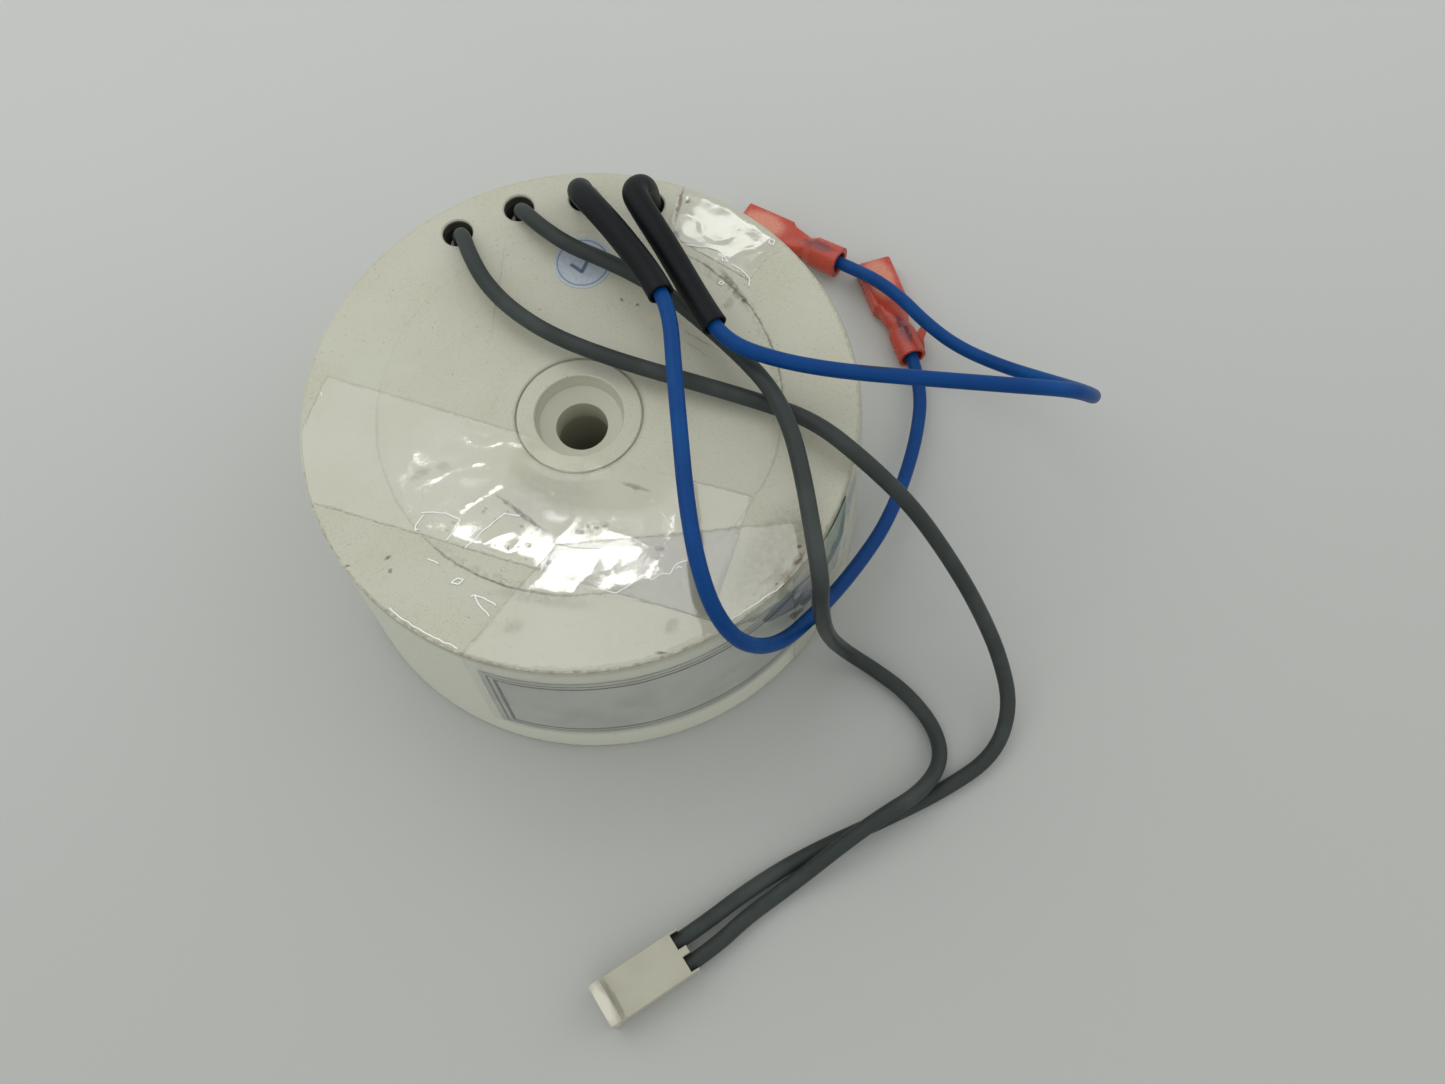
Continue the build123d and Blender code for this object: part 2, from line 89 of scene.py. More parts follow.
# Lead routes in millimetres, from inside each outlet outwards
GREY_A_ROUTE: list[Point] = [
    (-14.1, 41.6, 39.5), (-14.1, 41.6, 43.2), (-13.3, 39.6, 46.7), (-12.7, 33.4, 48.0),
    (-11.1, 26.5, 48.2), (-7.2, 19.5, 47.6), (-0.8, 12.3, 47.2), (9.2, 4.6, 47.0),
    (21.1, -3.1, 46.8), (31.6, -10.2, 46.8), (38.8, -17.2, 49.0), (44.6, -26.4, 49.0),
    (51.9, -33.1, 40.0), (57.8, -40.1, 29.0), (62.5, -47.6, 19.0), (65.5, -56.6, 11.0),
    (65.6, -65.7, 5.2), (60.0, -73.2, 2.2), (49.0, -76.7, 1.8), (37.2, -78.9, 1.8),
    (25.8, -80.5, 1.8), (16.5, -82.3, 1.8), (7.3, -85.0, 2.2), (-2.73, -89.0, 3.2),
    (-10.93, -91.59, 3.4),
]
GREY_B_ROUTE: list[Point] = [
    (-1.6, 43.9, 39.5), (-1.6, 43.9, 43.2), (-1.4, 41.9, 46.7), (1.2, 36.2, 48.2),
    (5.3, 30.9, 47.8), (12.3, 25.3, 47.2), (19.8, 17.3, 47.2), (25.1, 8.6, 47.4),
    (29.7, -0.7, 48.6), (32.6, -10.3, 52.0), (33.7, -18.8, 52.4), (33.1, -28.4, 52.0),
    (31.9, -37.5, 51.9), (31.1, -43.3, 52.0), (30.8, -46.6, 49.5), (30.6, -47.6, 44.5),
    (31.4, -47.9, 35.2), (32.8, -47.2, 25.6), (35.1, -46.0, 14.0), (38.6, -46.1, 3.8),
    (43.2, -50.5, 1.8), (48.0, -57.0, 1.8), (51.0, -65.1, 1.8), (49.7, -71.9, 3.6),
    (43.8, -76.6, 6.6), (35.5, -78.9, 6.6), (27.8, -81.5, 6.2), (20.1, -84.4, 3.8),
    (12.9, -87.0, 1.9), (6.2, -89.4, 2.3), (-1.76, -93.41, 3.2), (-9.58, -95.88, 3.4),
]
BLUE_A_ROUTE: list[Point] = [
    (10.7, 42.9, 39.5), (10.7, 42.9, 46.5), (9.6, 38.8, 52.5), (11.3, 32.6, 55.5),
    (14.2, 24.4, 57.0), (17.7, 13.2, 58.0), (18.9, 5.4, 58.5), (16.9, -5.2, 58.6),
    (14.8, -17.4, 58.4), (12.7, -29.5, 58.7), (11.6, -40.5, 58.0), (12.4, -48.4, 54.0),
    (16.0, -51.7, 45.0), (22.9, -49.9, 33.5), (31.6, -43.5, 24.6), (41.9, -35.2, 17.0),
    (54.0, -24.0, 11.0), (66.2, -6.5, 4.8), (72.2, 7.6, 3.7), (71.87, 17.6, 3.28),
]
BLUE_B_ROUTE: list[Point] = [
    (22.4, 38.1, 39.5), (22.4, 38.1, 46.2), (21.4, 36.2, 53.0), (18.8, 33.2, 56.0),
    (19.8, 28.0, 56.4), (22.1, 19.7, 55.5), (25.0, 6.7, 54.5), (27.3, -0.9, 54.5),
    (34.6, -6.3, 54.0), (44.3, -11.0, 53.5), (57.3, -16.4, 54.0), (72.0, -21.4, 53.0),
    (84.4, -23.7, 49.0), (91.8, -21.3, 38.0), (96.8, -12.3, 22.0), (94.4, -3.7, 12.6),
    (87.4, 3.8, 9.2), (80.2, 10.8, 9.0), (75.6, 18.2, 9.2), (72.5, 25.0, 9.6),
    (69.0, 31.2, 8.9), (65.65, 37.75, 5.35), (60.8, 43.0, 4.55),
]


def linear(red: int, green: int, blue: int) -> Colour:
    """Turn a colour written in 8-bit display values into scene values.

    Args:
        red: Red from 0 to 255.
        green: Green from 0 to 255.
        blue: Blue from 0 to 255.

    Returns:
        The colour in linear values, with an alpha of 1.
    """
    parts = []
    for level in (red, green, blue):
        share = level / 255
        parts.append(share / 12.92 if share <= 0.04045 else ((share + 0.055) / 1.055) ** 2.4)
    return (parts[0], parts[1], parts[2], 1.0)


class Slot(Enum):
    """The record's material slots."""

    CAN = "can_moulding"
    BUSH = "bush_moulding"
    RESIN = "resin"
    CORE = "core_steel"
    FILM_WRAP = "winding_film"
    WINDING = "winding_wire"
    SPLICE = "splice_cap"
    CUTOUT = "cutout_body"
    GREY_LEAD = "grey_insulation"
    BLUE_LEAD = "blue_insulation"
    SLEEVE = "sleeve_black"
    HOUSING = "housing_nylon"
    CONTACT = "tinned_contact"
    COVER = "cover_red"
    RECEPTACLE = "terminal_brass"
    LABEL = "label_paper"
    PATCH = "patch_green"
    STICKER = "sticker_silver"
    TAPE = "clear_tape"


class Tone(Enum):
    """Colours of the stains and rubbed places, and of a painted highlight."""

    SOOT = linear(48, 44, 40)
    RUST = linear(92, 52, 38)
    DUST = linear(112, 106, 88)
    RESIDUE = linear(158, 156, 148)
    SCRAP = linear(206, 190, 158)
    WIRE = linear(112, 58, 62)
    PALE = linear(208, 138, 114)
    PAINTED_HIGHLIGHT = linear(214, 211, 194)


@dataclass(frozen=True)
class Mark:
    """One stain or scuff, or one patch of painted light or shade, seen from above, in millimetres and
    degrees.
    """

    x: float
    y: float
    length: float
    width: float
    turn: float
    tone: Tone
    strength: float


class Value:
    """One output socket of a shader, which takes part in Python arithmetic."""

    def __init__(self, shade: "Shade", socket: bpy.types.NodeSocket) -> None:
        """Keep the shade that the socket belongs to."""
        self.shade = shade
        self.socket = socket

    def _math(self, operation: str, first: Input, second: Input = 0.0) -> "Value":
        """Add one Math node.

        Args:
            operation: The node's operation.
            first: Its first value.
            second: Its second value.

        Returns:
            The node's result.
        """
        return self.shade.node("ShaderNodeMath", {"operation": operation}, {0: first, 1: second})

    def __add__(self, other: Input) -> "Value":
        """Sum."""
        return self._math("ADD", self, other)

    def __radd__(self, other: Input) -> "Value":
        """Sum with a number in front."""
        return self._math("ADD", other, self)

    def __sub__(self, other: Input) -> "Value":
        """Difference."""
        return self._math("SUBTRACT", self, other)

    def __rsub__(self, other: Input) -> "Value":
        """Difference from a number in front."""
        return self._math("SUBTRACT", other, self)

    def __mul__(self, other: Input) -> "Value":
        """Product."""
        return self._math("MULTIPLY", self, other)

    def __rmul__(self, other: Input) -> "Value":
        """Product with a number in front."""
        return self._math("MULTIPLY", other, self)

    def absolute(self) -> "Value":
        """Size without its sign."""
        return self._math("ABSOLUTE", self)

    def at_most(self, other: Input) -> "Value":
        """The smaller of two values."""
        return self._math("MINIMUM", self, other)

    def angle_from(self, other: Input) -> "Value":
        """Angle whose tangent is this value over another, in radians."""
        return self._math("ARCTAN2", self, other)

    def fade(self, start: float, end: float) -> "Value":
        """Smooth step from 0 at one value to 1 at another.

        Args:
            start: The value that gives 0.
            end: The value that gives 1.

        Returns:
            The stepped value.
        """
        low, high, first, last = (start, end, 0.0, 1.0) if start < end else (end, start, 1.0, 0.0)
        limits = {0: self, 1: low, 2: high, 3: first, 4: last}
        return self.shade.node("ShaderNodeMapRange", {"interpolation_type": "SMOOTHSTEP"}, limits)

    def line(self, centre: float, half_width: float) -> "Value":
        """A soft line, 1 where the value is the centre.

        Args:
            centre: The value in the middle of the line.
            half_width: How far the line reaches on each side.

        Returns:
            The line's strength.
        """
        return (self - centre).absolute().fade(half_width, half_width * LINE_CORE)


class Shade:
    """A material under construction, with one method that makes any node."""

    def __init__(self, name: str) -> None:
        """Start an empty material of that name."""
        self.material = bpy.data.materials.new(name)
        self.material.use_nodes = True
        self.tree = self.material.node_tree
        self.tree.nodes.clear()
        self._place: Optional[Value] = None

    def node(
        self,
        kind: str,
        settings: Optional[dict[str, Any]] = None,
        inputs: Optional[dict[Union[int, str], Any]] = None,
        output: Union[int, str] = 0,
    ) -> Value:
        """Make a node, set it up and connect it.

        Args:
            kind: The node's type.
            settings: Its own settings. The stops of a ramp are given as "stops".
            inputs: Values or links of its sockets.
            output: The socket that is returned.

        Returns:
            The chosen output.
        """
        made = self.tree.nodes.new(kind)
        for key, value in (settings or {}).items():
            if key == "stops":
                self._set_stops(made.color_ramp, value)
            else:
                setattr(made, key, value)
        for key, value in (inputs or {}).items():
            if isinstance(value, Value):
                self.tree.links.new(value.socket, made.inputs[key])
            else:
                made.inputs[key].default_value = value
        return Value(self, made.outputs[output])

    def _set_stops(self, ramp: bpy.types.ColorRamp, stops: Sequence[tuple[float, float]]) -> None:
        """Give a ramp its grey levels.

        Args:
            ramp: The ramp.
            stops: Position and level of each stop, in rising order.
        """
        while len(ramp.elements) < len(stops):
            ramp.elements.new(1.0)
        for element, (position, level) in zip(ramp.elements, stops):
            element.position = position
            element.color = (level, level, level, 1.0)

    def place(self) -> Value:
        """Position in the part's own frame, in millimetres."""
        if self._place is None:
            point = self.node("ShaderNodeTexCoord", output="Object")
            self._place = self.scaled(point, 1 / MM)
        return self._place

    def scaled(self, vector: Value, factor: float) -> Value:
        """A vector times a number."""
        return self.node("ShaderNodeVectorMath", {"operation": "SCALE"}, {0: vector, "Scale": factor})

    def axes(self, vector: Value) -> tuple[Value, Value, Value]:
        """The three parts of a vector."""
        first = self.node("ShaderNodeSeparateXYZ", None, {0: vector})
        node = first.socket.node
        return (first, Value(self, node.outputs[1]), Value(self, node.outputs[2]))

    def length(self, vector: Value) -> Value:
        """Length of a vector."""
        return self.node("ShaderNodeVectorMath", {"operation": "LENGTH"}, {0: vector}, "Value")

    def radius(self, x: Value, y: Value) -> Value:
        """Distance from the Z axis."""
        return self.length(self.node("ShaderNodeCombineXYZ", None, {0: x, 1: y}))

    def noise(
        self,
        scale: float,
        detail: float = 3.0,
        roughness: float = 0.55,
        at: Optional[Value] = None,
        distortion: float = 0.0,
    ) -> Value:
        """Noise over the surface.

        Args:
            scale: Waves per millimetre.
            detail: Octaves.
            roughness: How strong the fine octaves are.
            at: Where it is read. The place on the part if left out.
            distortion: How far it is warped.

        Returns:
            A value from 0 to 1.
        """
        inputs = {
            "Vector": at or self.place(),
            "Scale": scale,
            "Detail": detail,
            "Roughness": roughness,
            "Distortion": distortion,
        }
        return self.node("ShaderNodeTexNoise", None, inputs)

    def ellipse(self, centre: Point, size: Point, turn: float, at: Value) -> Value:
        """Distance from an ellipse's centre, which is 1 on its outline.

        Args:
            centre: Its centre, in millimetres.
            size: Its half axes, in millimetres.
            turn: How far it is turned about Z, in degrees.
            at: Where it is read.

        Returns:
            The distance in half axes.
        """
        inputs = {0: at, 1: centre, 2: (0.0, 0.0, math.radians(turn)), 3: size}
        return self.length(self.node("ShaderNodeMapping", {"vector_type": "TEXTURE"}, inputs))

    def mix(self, first: Input, second: Input, factor: Input) -> Value:
        """Lay one colour over another.

        Args:
            first: The colour below.
            second: The colour above.
            factor: How much of it shows.

        Returns:
            The mixed colour.
        """
        settings = {"data_type": "RGBA", "blend_type": "MIX", "clamp_factor": True}
        return self.node("ShaderNodeMix", settings, {0: factor, 6: first, 7: second}, 2)

    def warped(self, scale: float, reach: float) -> Value:
        """The place pushed about by noise, so that an outline turns ragged.

        Args:
            scale: Waves per millimetre.
            reach: How far it is pushed, in millimetres.

        Returns:
            The pushed place.
        """
        inputs = {"Vector": self.place(), "Scale": scale, "Detail": 4.0}
        push = self.node("ShaderNodeTexNoise", None, inputs, "Color")
        middle = {0: push, 1: (0.5, 0.5, 0.5)}
        push = self.node("ShaderNodeVectorMath", {"operation": "SUBTRACT"}, middle)
        push = self.scaled(push, 2 * reach)
        return self.node("ShaderNodeVectorMath", {"operation": "ADD"}, {0: self.place(), 1: push})

    def marked(
        self,
        colour: Value,
        marks: Sequence[Mark],
        level: Flat,
        ragged: Flat,
        soft: Flat,
        grit: Input = 1.0,
    ) -> Value:
        """Lay stains, and patches of painted light or shade, over a colour.

        Args:
            colour: The colour below.
            marks: The stains and painted patches, the lowest first.
            level: Height of their middles and half their depth, in millimetres.
            ragged: Waves per millimetre of their outlines, and how far these wander.
            soft: Where a stain starts and where it is full, in its half axes.
            grit: Noise that breaks them up.

        Returns:
            The stained colour.
        """
        if not marks:
            return colour
        at = self.warped(*ragged)
        for mark in marks:
            half = (mark.length, mark.width, level[1])
            reach = self.ellipse((mark.x, mark.y, level[0]), half, mark.turn, at)
            colour = self.mix(colour, mark.tone.value, reach.fade(*soft) * grit * mark.strength)
        return colour

    def bump(self, height: Value, depth: float, below: Optional[Value] = None) -> Value:
        """Fine relief.

        Args:
            height: The height, from 0 to 1.
            depth: How deep it is, in millimetres.
            below: Relief that it is added to.

        Returns:
            The normal.
        """
        inputs: dict[Union[int, str], Any] = {"Height": height, "Distance": depth * MM}
        inputs["Strength"] = 1.0
        if below is not None:
            inputs["Normal"] = below
        return self.node("ShaderNodeBump", None, inputs)

    def surface(self, **inputs: Any) -> bpy.types.Material:
        """Close the material with a surface shader.

        Args:
            inputs: Its sockets, with an underscore for a space.

        Returns:
            The finished material.
        """
        named = {key.replace("_", " "): value for key, value in inputs.items()}
        return self.close(self.node("ShaderNodeBsdfPrincipled", None, named))

    def close(self, shader: Value) -> bpy.types.Material:
        """Connect a shader to the output and give back the material."""
        target = self.tree.nodes.new("ShaderNodeOutputMaterial")
        self.tree.links.new(shader.socket, target.inputs["Surface"])
        return self.material


CAN_MARKS: tuple[Mark, ...] = (
    Mark(27.8, 36.2, 4.6, 0.45, 64.0, Tone.RUST, 0.95),
    Mark(29.6, 36.6, 0.7, 0.5, 20.0, Tone.SOOT, 0.8),
    Mark(25.5, 30.0, 1.5, 0.9, 40.0, Tone.DUST, 0.7),
    Mark(32.9, 16.2, 4.6, 0.8, 107.0, Tone.DUST, 0.9),
    Mark(34.1, 12.7, 1.1, 0.6, 110.0, Tone.SOOT, 0.7),
    Mark(31.2, 12.8, 1.6, 1.0, 60.0, Tone.DUST, 0.4),
    Mark(-9.0, -15.8, 9.4, 7.2, -20.0, Tone.RESIDUE, 0.55),
    Mark(-14.4, -18.2, 6.4, 0.5, 126.0, Tone.SOOT, 0.85),
    Mark(-30.1, -5.8, 2.2, 1.1, 15.0, Tone.DUST, 0.45),
    Mark(-26.1, -5.3, 1.7, 1.2, -30.0, Tone.DUST, 0.4),
    Mark(-38.3, -20.1, 0.7, 0.4, 20.0, Tone.RUST, 0.9),
    Mark(-45.1, -19.7, 0.4, 0.3, 0.0, Tone.SOOT, 0.8),
    Mark(-38.2, -22.6, 0.5, 0.3, 60.0, Tone.DUST, 0.8),
    Mark(-8.5, -15.5, 0.5, 0.35, 0.0, Tone.SCRAP, 0.9),
    Mark(-15.0, -21.8, 0.5, 0.3, 45.0, Tone.SCRAP, 0.9),
    Mark(5.9, -18.4, 3.0, 0.5, 144.0, Tone.DUST, 0.7),
    Mark(12.3, 19.3, 0.6, 0.25, 110.0, Tone.SOOT, 0.85),
    Mark(14.9, 17.4, 0.45, 0.3, 0.0, Tone.SOOT, 0.7),
    Mark(16.7, 13.8, 1.4, 0.9, 35.0, Tone.SCRAP, 0.8),
    Mark(24.3, 6.8, 4.6, 0.16, 131.0, Tone.DUST, 0.6),
    Mark(23.0, 5.6, 3.4, 0.12, 128.0, Tone.DUST, 0.5),
    Mark(2.7, -49.0, 1.1, 0.3, -15.0, Tone.RUST, 1.0),
    Mark(30.1, -37.1, 0.5, 0.4, 0.0, Tone.SOOT, 1.0),
    Mark(29.3, -39.3, 1.7, 0.8, 35.0, Tone.RUST, 0.85),
    Mark(26.1, -41.5, 1.5, 0.9, 20.0, Tone.RUST, 0.5),
    Mark(24.5, -42.6, 0.4, 0.35, 0.0, Tone.SOOT, 0.8),
    Mark(26.0, -36.5, 12.5, 5.5, 35.0, Tone.DUST, 0.42),
    Mark(2.5, -39.9, 2.6, 0.14, 153.0, Tone.DUST, 0.8),
    Mark(8.2, -43.2, 4.2, 0.12, 148.0, Tone.DUST, 0.7),
    Mark(-14.0, -34.5, 9.0, 1.5, -24.0, Tone.DUST, 0.35),
    Mark(-20.0, -38.0, 2.0, 1.4, 0.0, Tone.DUST, 0.4),
    Mark(5.5, -45.0, 1.8, 1.2, 30.0, Tone.DUST, 0.5),
    Mark(-9.5, 27.0, 12.0, 0.22, 70.0, Tone.DUST, 0.25),
)

COVER_MARKS: tuple[Mark, ...] = (
    Mark(71.8, 19.4, 4.6, 1.3, 92.0, Tone.WIRE, 0.85),
    Mark(60.0, 43.9, 4.6, 1.3, 132.5, Tone.WIRE, 0.85),
    Mark(71.1, 34.0, 5.6, 3.2, 92.0, Tone.PALE, 0.85),
    Mark(50.2, 54.6, 5.6, 3.2, 132.5, Tone.PALE, 0.85),
)

# Painted light and shade on the housing's mating end: a painted shadow line and a painted highlight on its
# ridge
HOUSING_PAINTED_LIGHT: tuple[Mark, ...] = (
    # Painted shadow line behind the ridge
    Mark(-20.6, -97.0, 0.5, 4.4, 17.5, Tone.DUST, 0.5),
    # Painted highlight on the ridge
    Mark(-22.6, -97.6, 1.4, 4.8, 17.5, Tone.PAINTED_HIGHLIGHT, 0.9),
)

BLUE_LEAD_MARKS: tuple[Mark, ...] = (Mark(51.5, -12.4, 4.6, 1.2, -15.0, Tone.SOOT, 0.9),)

# Strength of the grime round the dish and the rim, by share of a whole turn from the -X side
DISH_GRIME: tuple[Flat, ...] = (
    (0.0, 0.22), (0.08, 0.3), (0.12, 0.85), (0.175, 0.95), (0.2, 0.7), (0.24, 0.55), (0.27, 0.05),
    (0.46, 0.35), (0.48, 0.8), (0.53, 0.85), (0.6, 1.0), (0.63, 0.1), (0.93, 0.05), (0.97, 0.25),
)
RIM_GRIME: tuple[Flat, ...] = (
    (0.0, 0.4), (0.05, 0.7), (0.12, 0.75), (0.2, 0.9), (0.27, 0.9), (0.34, 0.7), (0.44, 0.3),
    (0.5, 0.45), (0.56, 0.4), (0.62, 0.1), (0.9, 0.15),
)


@dataclass(frozen=True)
class CanMoulding:
    """Cream moulded plastic with grime at its dish edge and rim, a darker seam and foot, painted shade in
    its outlets, a wall lightened by film haze and painted light, and stains on its top.
    """

    name: str
    colour: Colour = linear(189, 189, 171)
    aged: Colour = linear(183, 180, 156)
    # Lighter wall colour: partly the film's whitish haze, partly painted light on the can's sides
    wall: Colour = linear(209, 211, 193)
    roughness: float = 0.4
    marks: tuple[Mark, ...] = ()
    creased: bool = False
    # Heights in millimetres where a layer starts and where it is full
    # Height band where the wall's lighter colour, partly painted light, fades in
    wall_haze_and_light_fade: Flat = (43.2, 41.5)
    top_fade: Flat = (43.0, 43.6)
    rim_fade: Flat = (43.2, 43.9)
    # Height where the painted shade inside the outlets starts and where it is full
    outlet_shade_fade: Flat = (44.2, 43.5)
    foot_fade: Flat = (1.6, 0.2)
    # How far from an outlet's middle its painted shade starts and where it is full
    outlet_shade_reach: Flat = (3.25, 3.05)
    # Height of the marks' middles and half their depth
    mark_level: Flat = (CAN_HEIGHT - 0.4, 3.0)

    def build(self) -> bpy.types.Material:
        """Make the material."""
        shade = Shade(self.name)
        broad = shade.noise(0.045, 4.0, 0.6)
        fine = shade.noise(0.9, 4.0, 0.65)
        speck = shade.noise(1.7, 3.0, 0.5)
        colour = shade.mix(self.colour, self.aged, broad.fade(0.35, 0.75) * 0.6)
        dust = fine.fade(0.56, 0.8) * broad.fade(0.42, 0.66) * 0.22
        colour = shade.mix(colour, Tone.DUST.value, dust)
        colour = shade.mix(colour, Tone.DUST.value, speck.fade(0.69, 0.74) * 0.6)
        grain = shade.noise(4.2, 3.0, 0.6)
        grains = grain.fade(0.54, 0.7) * broad.fade(0.25, 0.55) * 0.34
        colour = shade.mix(colour, Tone.DUST.value, grains)
        _, _, height = shade.axes(shade.place())
        # The wall is painted lighter: partly the film's whitish haze, partly painted light on the sides
        wall = height.fade(*self.wall_haze_and_light_fade) * (1.0 - fine.fade(0.55, 0.8) * 0.5)
        colour = shade.mix(colour, self.wall, wall)
        if self.creased:
            colour = self._creases(shade, colour, fine)
        grit = fine.fade(0.3, 0.6) * 0.55 + 0.45
        colour = shade.marked(colour, self.marks, self.mark_level, (0.9, 0.5), (1.25, 0.35), grit)
        normal = shade.bump(shade.noise(3.5, 3.0, 0.6), 0.01, shade.bump(broad, 0.12))
        return shade.surface(
            Base_Color=colour,
            Roughness=self.roughness + (fine - 0.5) * 0.18,
            Normal=normal,
            Specular_IOR_Level=0.45,
        )

    def _creases(self, shade: Shade, colour: Value, grit: Value) -> Value:
        """Lay grime along the dish's edge and the rim, darken the seam round the bush and the foot of the
        wall, and paint shade into the outlets.

        Args:
            shade: The material.
            colour: Its colour so far.
            grit: Fine noise that breaks the lines up.

        Returns:
            The colour with its lines.
        """
        x, y, z = shade.axes(shade.place())
        radius = shade.radius(x, y)
        turn = y.angle_from(x) * (0.5 / math.pi) + 0.5
        wobble = shade.noise(0.22, 3.0, 0.6)
        top = z.fade(*self.top_fade)
        around = shade.node("ShaderNodeValToRGB", {"stops": DISH_GRIME}, {0: turn})
        edge = (radius + (wobble - 0.5) * 0.7).line(DISH_RADIUS, 0.3)
        edge = edge * (grit.fade(0.3, 0.6) * 0.5 + 0.4)
        colour = shade.mix(colour, linear(98, 91, 75), edge * around * top)
        halo = (radius + (wobble - 0.5) * 2.5).line(DISH_RADIUS - 0.4, 1.6)
        halo = halo * grit.fade(0.4, 0.65) * 0.3
        colour = shade.mix(colour, Tone.DUST.value, halo * around * top)
        around = shade.node("ShaderNodeValToRGB", {"stops": RIM_GRIME}, {0: turn})
        edge = (radius + (wobble - 0.5) * 0.5).line(CAN_TOP_RADIUS - 0.15, 0.4)
        edge = edge * z.fade(*self.rim_fade)
        colour = shade.mix(colour, linear(122, 114, 92), edge * around * grit.fade(0.3, 0.7))
        seam = shade.radius(x - BUSH_X, y - BUSH_Y).line(BUSH_RADIUS + 0.3, 0.6)
        colour = shade.mix(colour, linear(120, 114, 98), seam * top * 0.25)
        for index in range(OUTLET_COUNT):
            turn = math.radians(OUTLET_START + OUTLET_PITCH * index)
            centre = (OUTLET_CIRCLE * math.cos(turn), OUTLET_CIRCLE * math.sin(turn))
            # Painted shade inside each outlet hole
            outlet_shade = shade.radius(x - centre[0], y - centre[1]).fade(*self.outlet_shade_reach)
            outlet_shade = outlet_shade * z.fade(*self.outlet_shade_fade)
            colour = shade.mix(colour, linear(44, 42, 38), outlet_shade * 0.9)
        foot = z.fade(*self.foot_fade) * grit.fade(0.35, 0.6)
        return shade.mix(colour, linear(120, 116, 100), foot * 0.6)


@dataclass(frozen=True)
class LeadJacket:
    """Satin lead insulation with soiled stretches, and lighter stretches that are partly rubbed and partly
    painted sheen.
    """

    name: str
    colour: Colour
    # Lighter colour of stretches that are partly rubbed and partly painted sheen
    wear_and_sheen: Colour
    soiled: Colour
    roughness: float = 0.42
    marks: tuple[Mark, ...] = ()
    mark_level: Flat = (54.5, 3.0)

    def build(self) -> bpy.types.Material:
        """Make the material."""
        shade = Shade(self.name)
        broad = shade.noise(0.09, 3.0, 0.5)
        fine = shade.noise(1.4, 4.0, 0.65)
        # Lighter stretches, partly wear and partly painted sheen
        wear_and_sheen = broad.fade(0.42, 0.7) * 0.4 + fine.fade(0.58, 0.8) * 0.3
        colour = shade.mix(self.colour, self.wear_and_sheen, wear_and_sheen)
        soil = shade.noise(0.35, 4.0, 0.7).fade(0.6, 0.78) * 0.5
        colour = shade.mix(colour, self.soiled, soil)
        grit = fine.fade(0.36, 0.5)
        colour = shade.marked(colour, self.marks, self.mark_level, (0.8, 0.5), (1.1, 0.6), grit)
        normal = shade.bump(shade.noise(2.4, 3.0, 0.6), 0.012, shade.bump(broad, 0.15))
        return shade.surface(
            Base_Color=colour,
            Roughness=self.roughness + (fine - 0.5) * 0.22,
            Normal=normal,
            Specular_IOR_Level=0.14,
        )


@dataclass(frozen=True)
class Moulding:
    """Plastic, resin, paper or metal with an uneven surface of its own scale."""

    name: str
    colour: Colour
    shaded: Colour
    roughness: float = 0.4
    metallic: float = 0.0
    scale: float = 0.6
    relief: float = 0.012
    scatter: float = 0.0
    marks: tuple[Mark, ...] = ()
    mark_level: Flat = (4.0, 9.0)

    def build(self) -> bpy.types.Material:
        """Make the material."""
        shade = Shade(self.name)
        broad = shade.noise(self.scale * 0.25, 3.0, 0.55)
        fine = shade.noise(self.scale * 4.0, 4.0, 0.6)
        shaded = broad.fade(0.35, 0.7) * 0.6 + fine.fade(0.5, 0.8) * 0.25
        colour = shade.mix(self.colour, self.shaded, shaded)
        colour = shade.marked(colour, self.marks, self.mark_level, (0.7, 0.5), (1.2, 0.6))
        return shade.surface(
            Base_Color=colour,
            Roughness=self.roughness + (fine - 0.5) * 0.14,
            Normal=shade.bump(fine, self.relief),
            Metallic=self.metallic,
            Subsurface_Weight=self.scatter,
            Subsurface_Radius=(0.003, 0.0012, 0.0009),
        )


@dataclass(frozen=True)
class WoundWire:
    """Close turns of enamelled wire round the core, with painted shade between the turns and painted light
    on their crests.
    """

    name: str
    turns: float = 420.0

    def build(self) -> bpy.types.Material:
        """Make the material."""
        shade = Shade(self.name)
        x, y, _ = shade.axes(shade.place())
        phase = y.angle_from(x) * self.turns
        ridge = shade.node("ShaderNodeMath", {"operation": "SINE"}, {0: phase}) * 0.5 + 0.5
        # Painted light on the crests of the turns and painted shade in the grooves between them
        colour = shade.mix(linear(96, 38, 16), linear(182, 92, 44), ridge)
        return shade.surface(Base_Color=colour, Roughness=0.3, Normal=shade.bump(ridge, 0.12))


@dataclass(frozen=True)
class LabelPaper:
    """White label with a plain double frame, read from the sheet's own map in millimetres."""

    name: str
    width: float
    height: float
    outer: float = 1.4
    outer_edge: Flat = (0.26, 0.17)
    inner: float = 2.7
    inner_edge: Flat = (0.42, 0.32)
    rim: float = 0.7

    def build(self) -> bpy.types.Material:
        """Make the material."""
        shade = Shade(self.name)
        sheet = shade.scaled(shade.node("ShaderNodeUVMap", {"uv_map": "sheet"}), 1 / MM)
        u, v, _ = shade.axes(sheet)
        side = ((u - self.width / 2).absolute() - self.width / 2) * -1.0
        level = ((v - self.height / 2).absolute() - self.height / 2) * -1.0
        border = side.at_most(level)
        fine = shade.noise(1.8, 4.0, 0.6)
        broad = shade.noise(0.08, 3.0, 0.6)
        colour = shade.mix(linear(178, 181, 174), linear(156, 159, 150), broad.fade(0.35, 0.7))
        colour = shade.mix(colour, linear(150, 150, 138), fine.fade(0.62, 0.8) * 0.25)
        outer = (border - self.outer).absolute().fade(*self.outer_edge)
        ink = outer + (border - self.inner).absolute().fade(*self.inner_edge)
        colour = shade.mix(colour, linear(10, 10, 12), ink.at_most(1.0) * fine.fade(0.08, 0.28))
        colour = shade.mix(colour, linear(140, 138, 120), border.fade(self.rim, 0.0) * 0.35)
        roughness = 0.55 + (fine - 0.5) * 0.1
        return shade.surface(Base_Color=colour, Roughness=roughness, Normal=shade.bump(fine, 0.01))


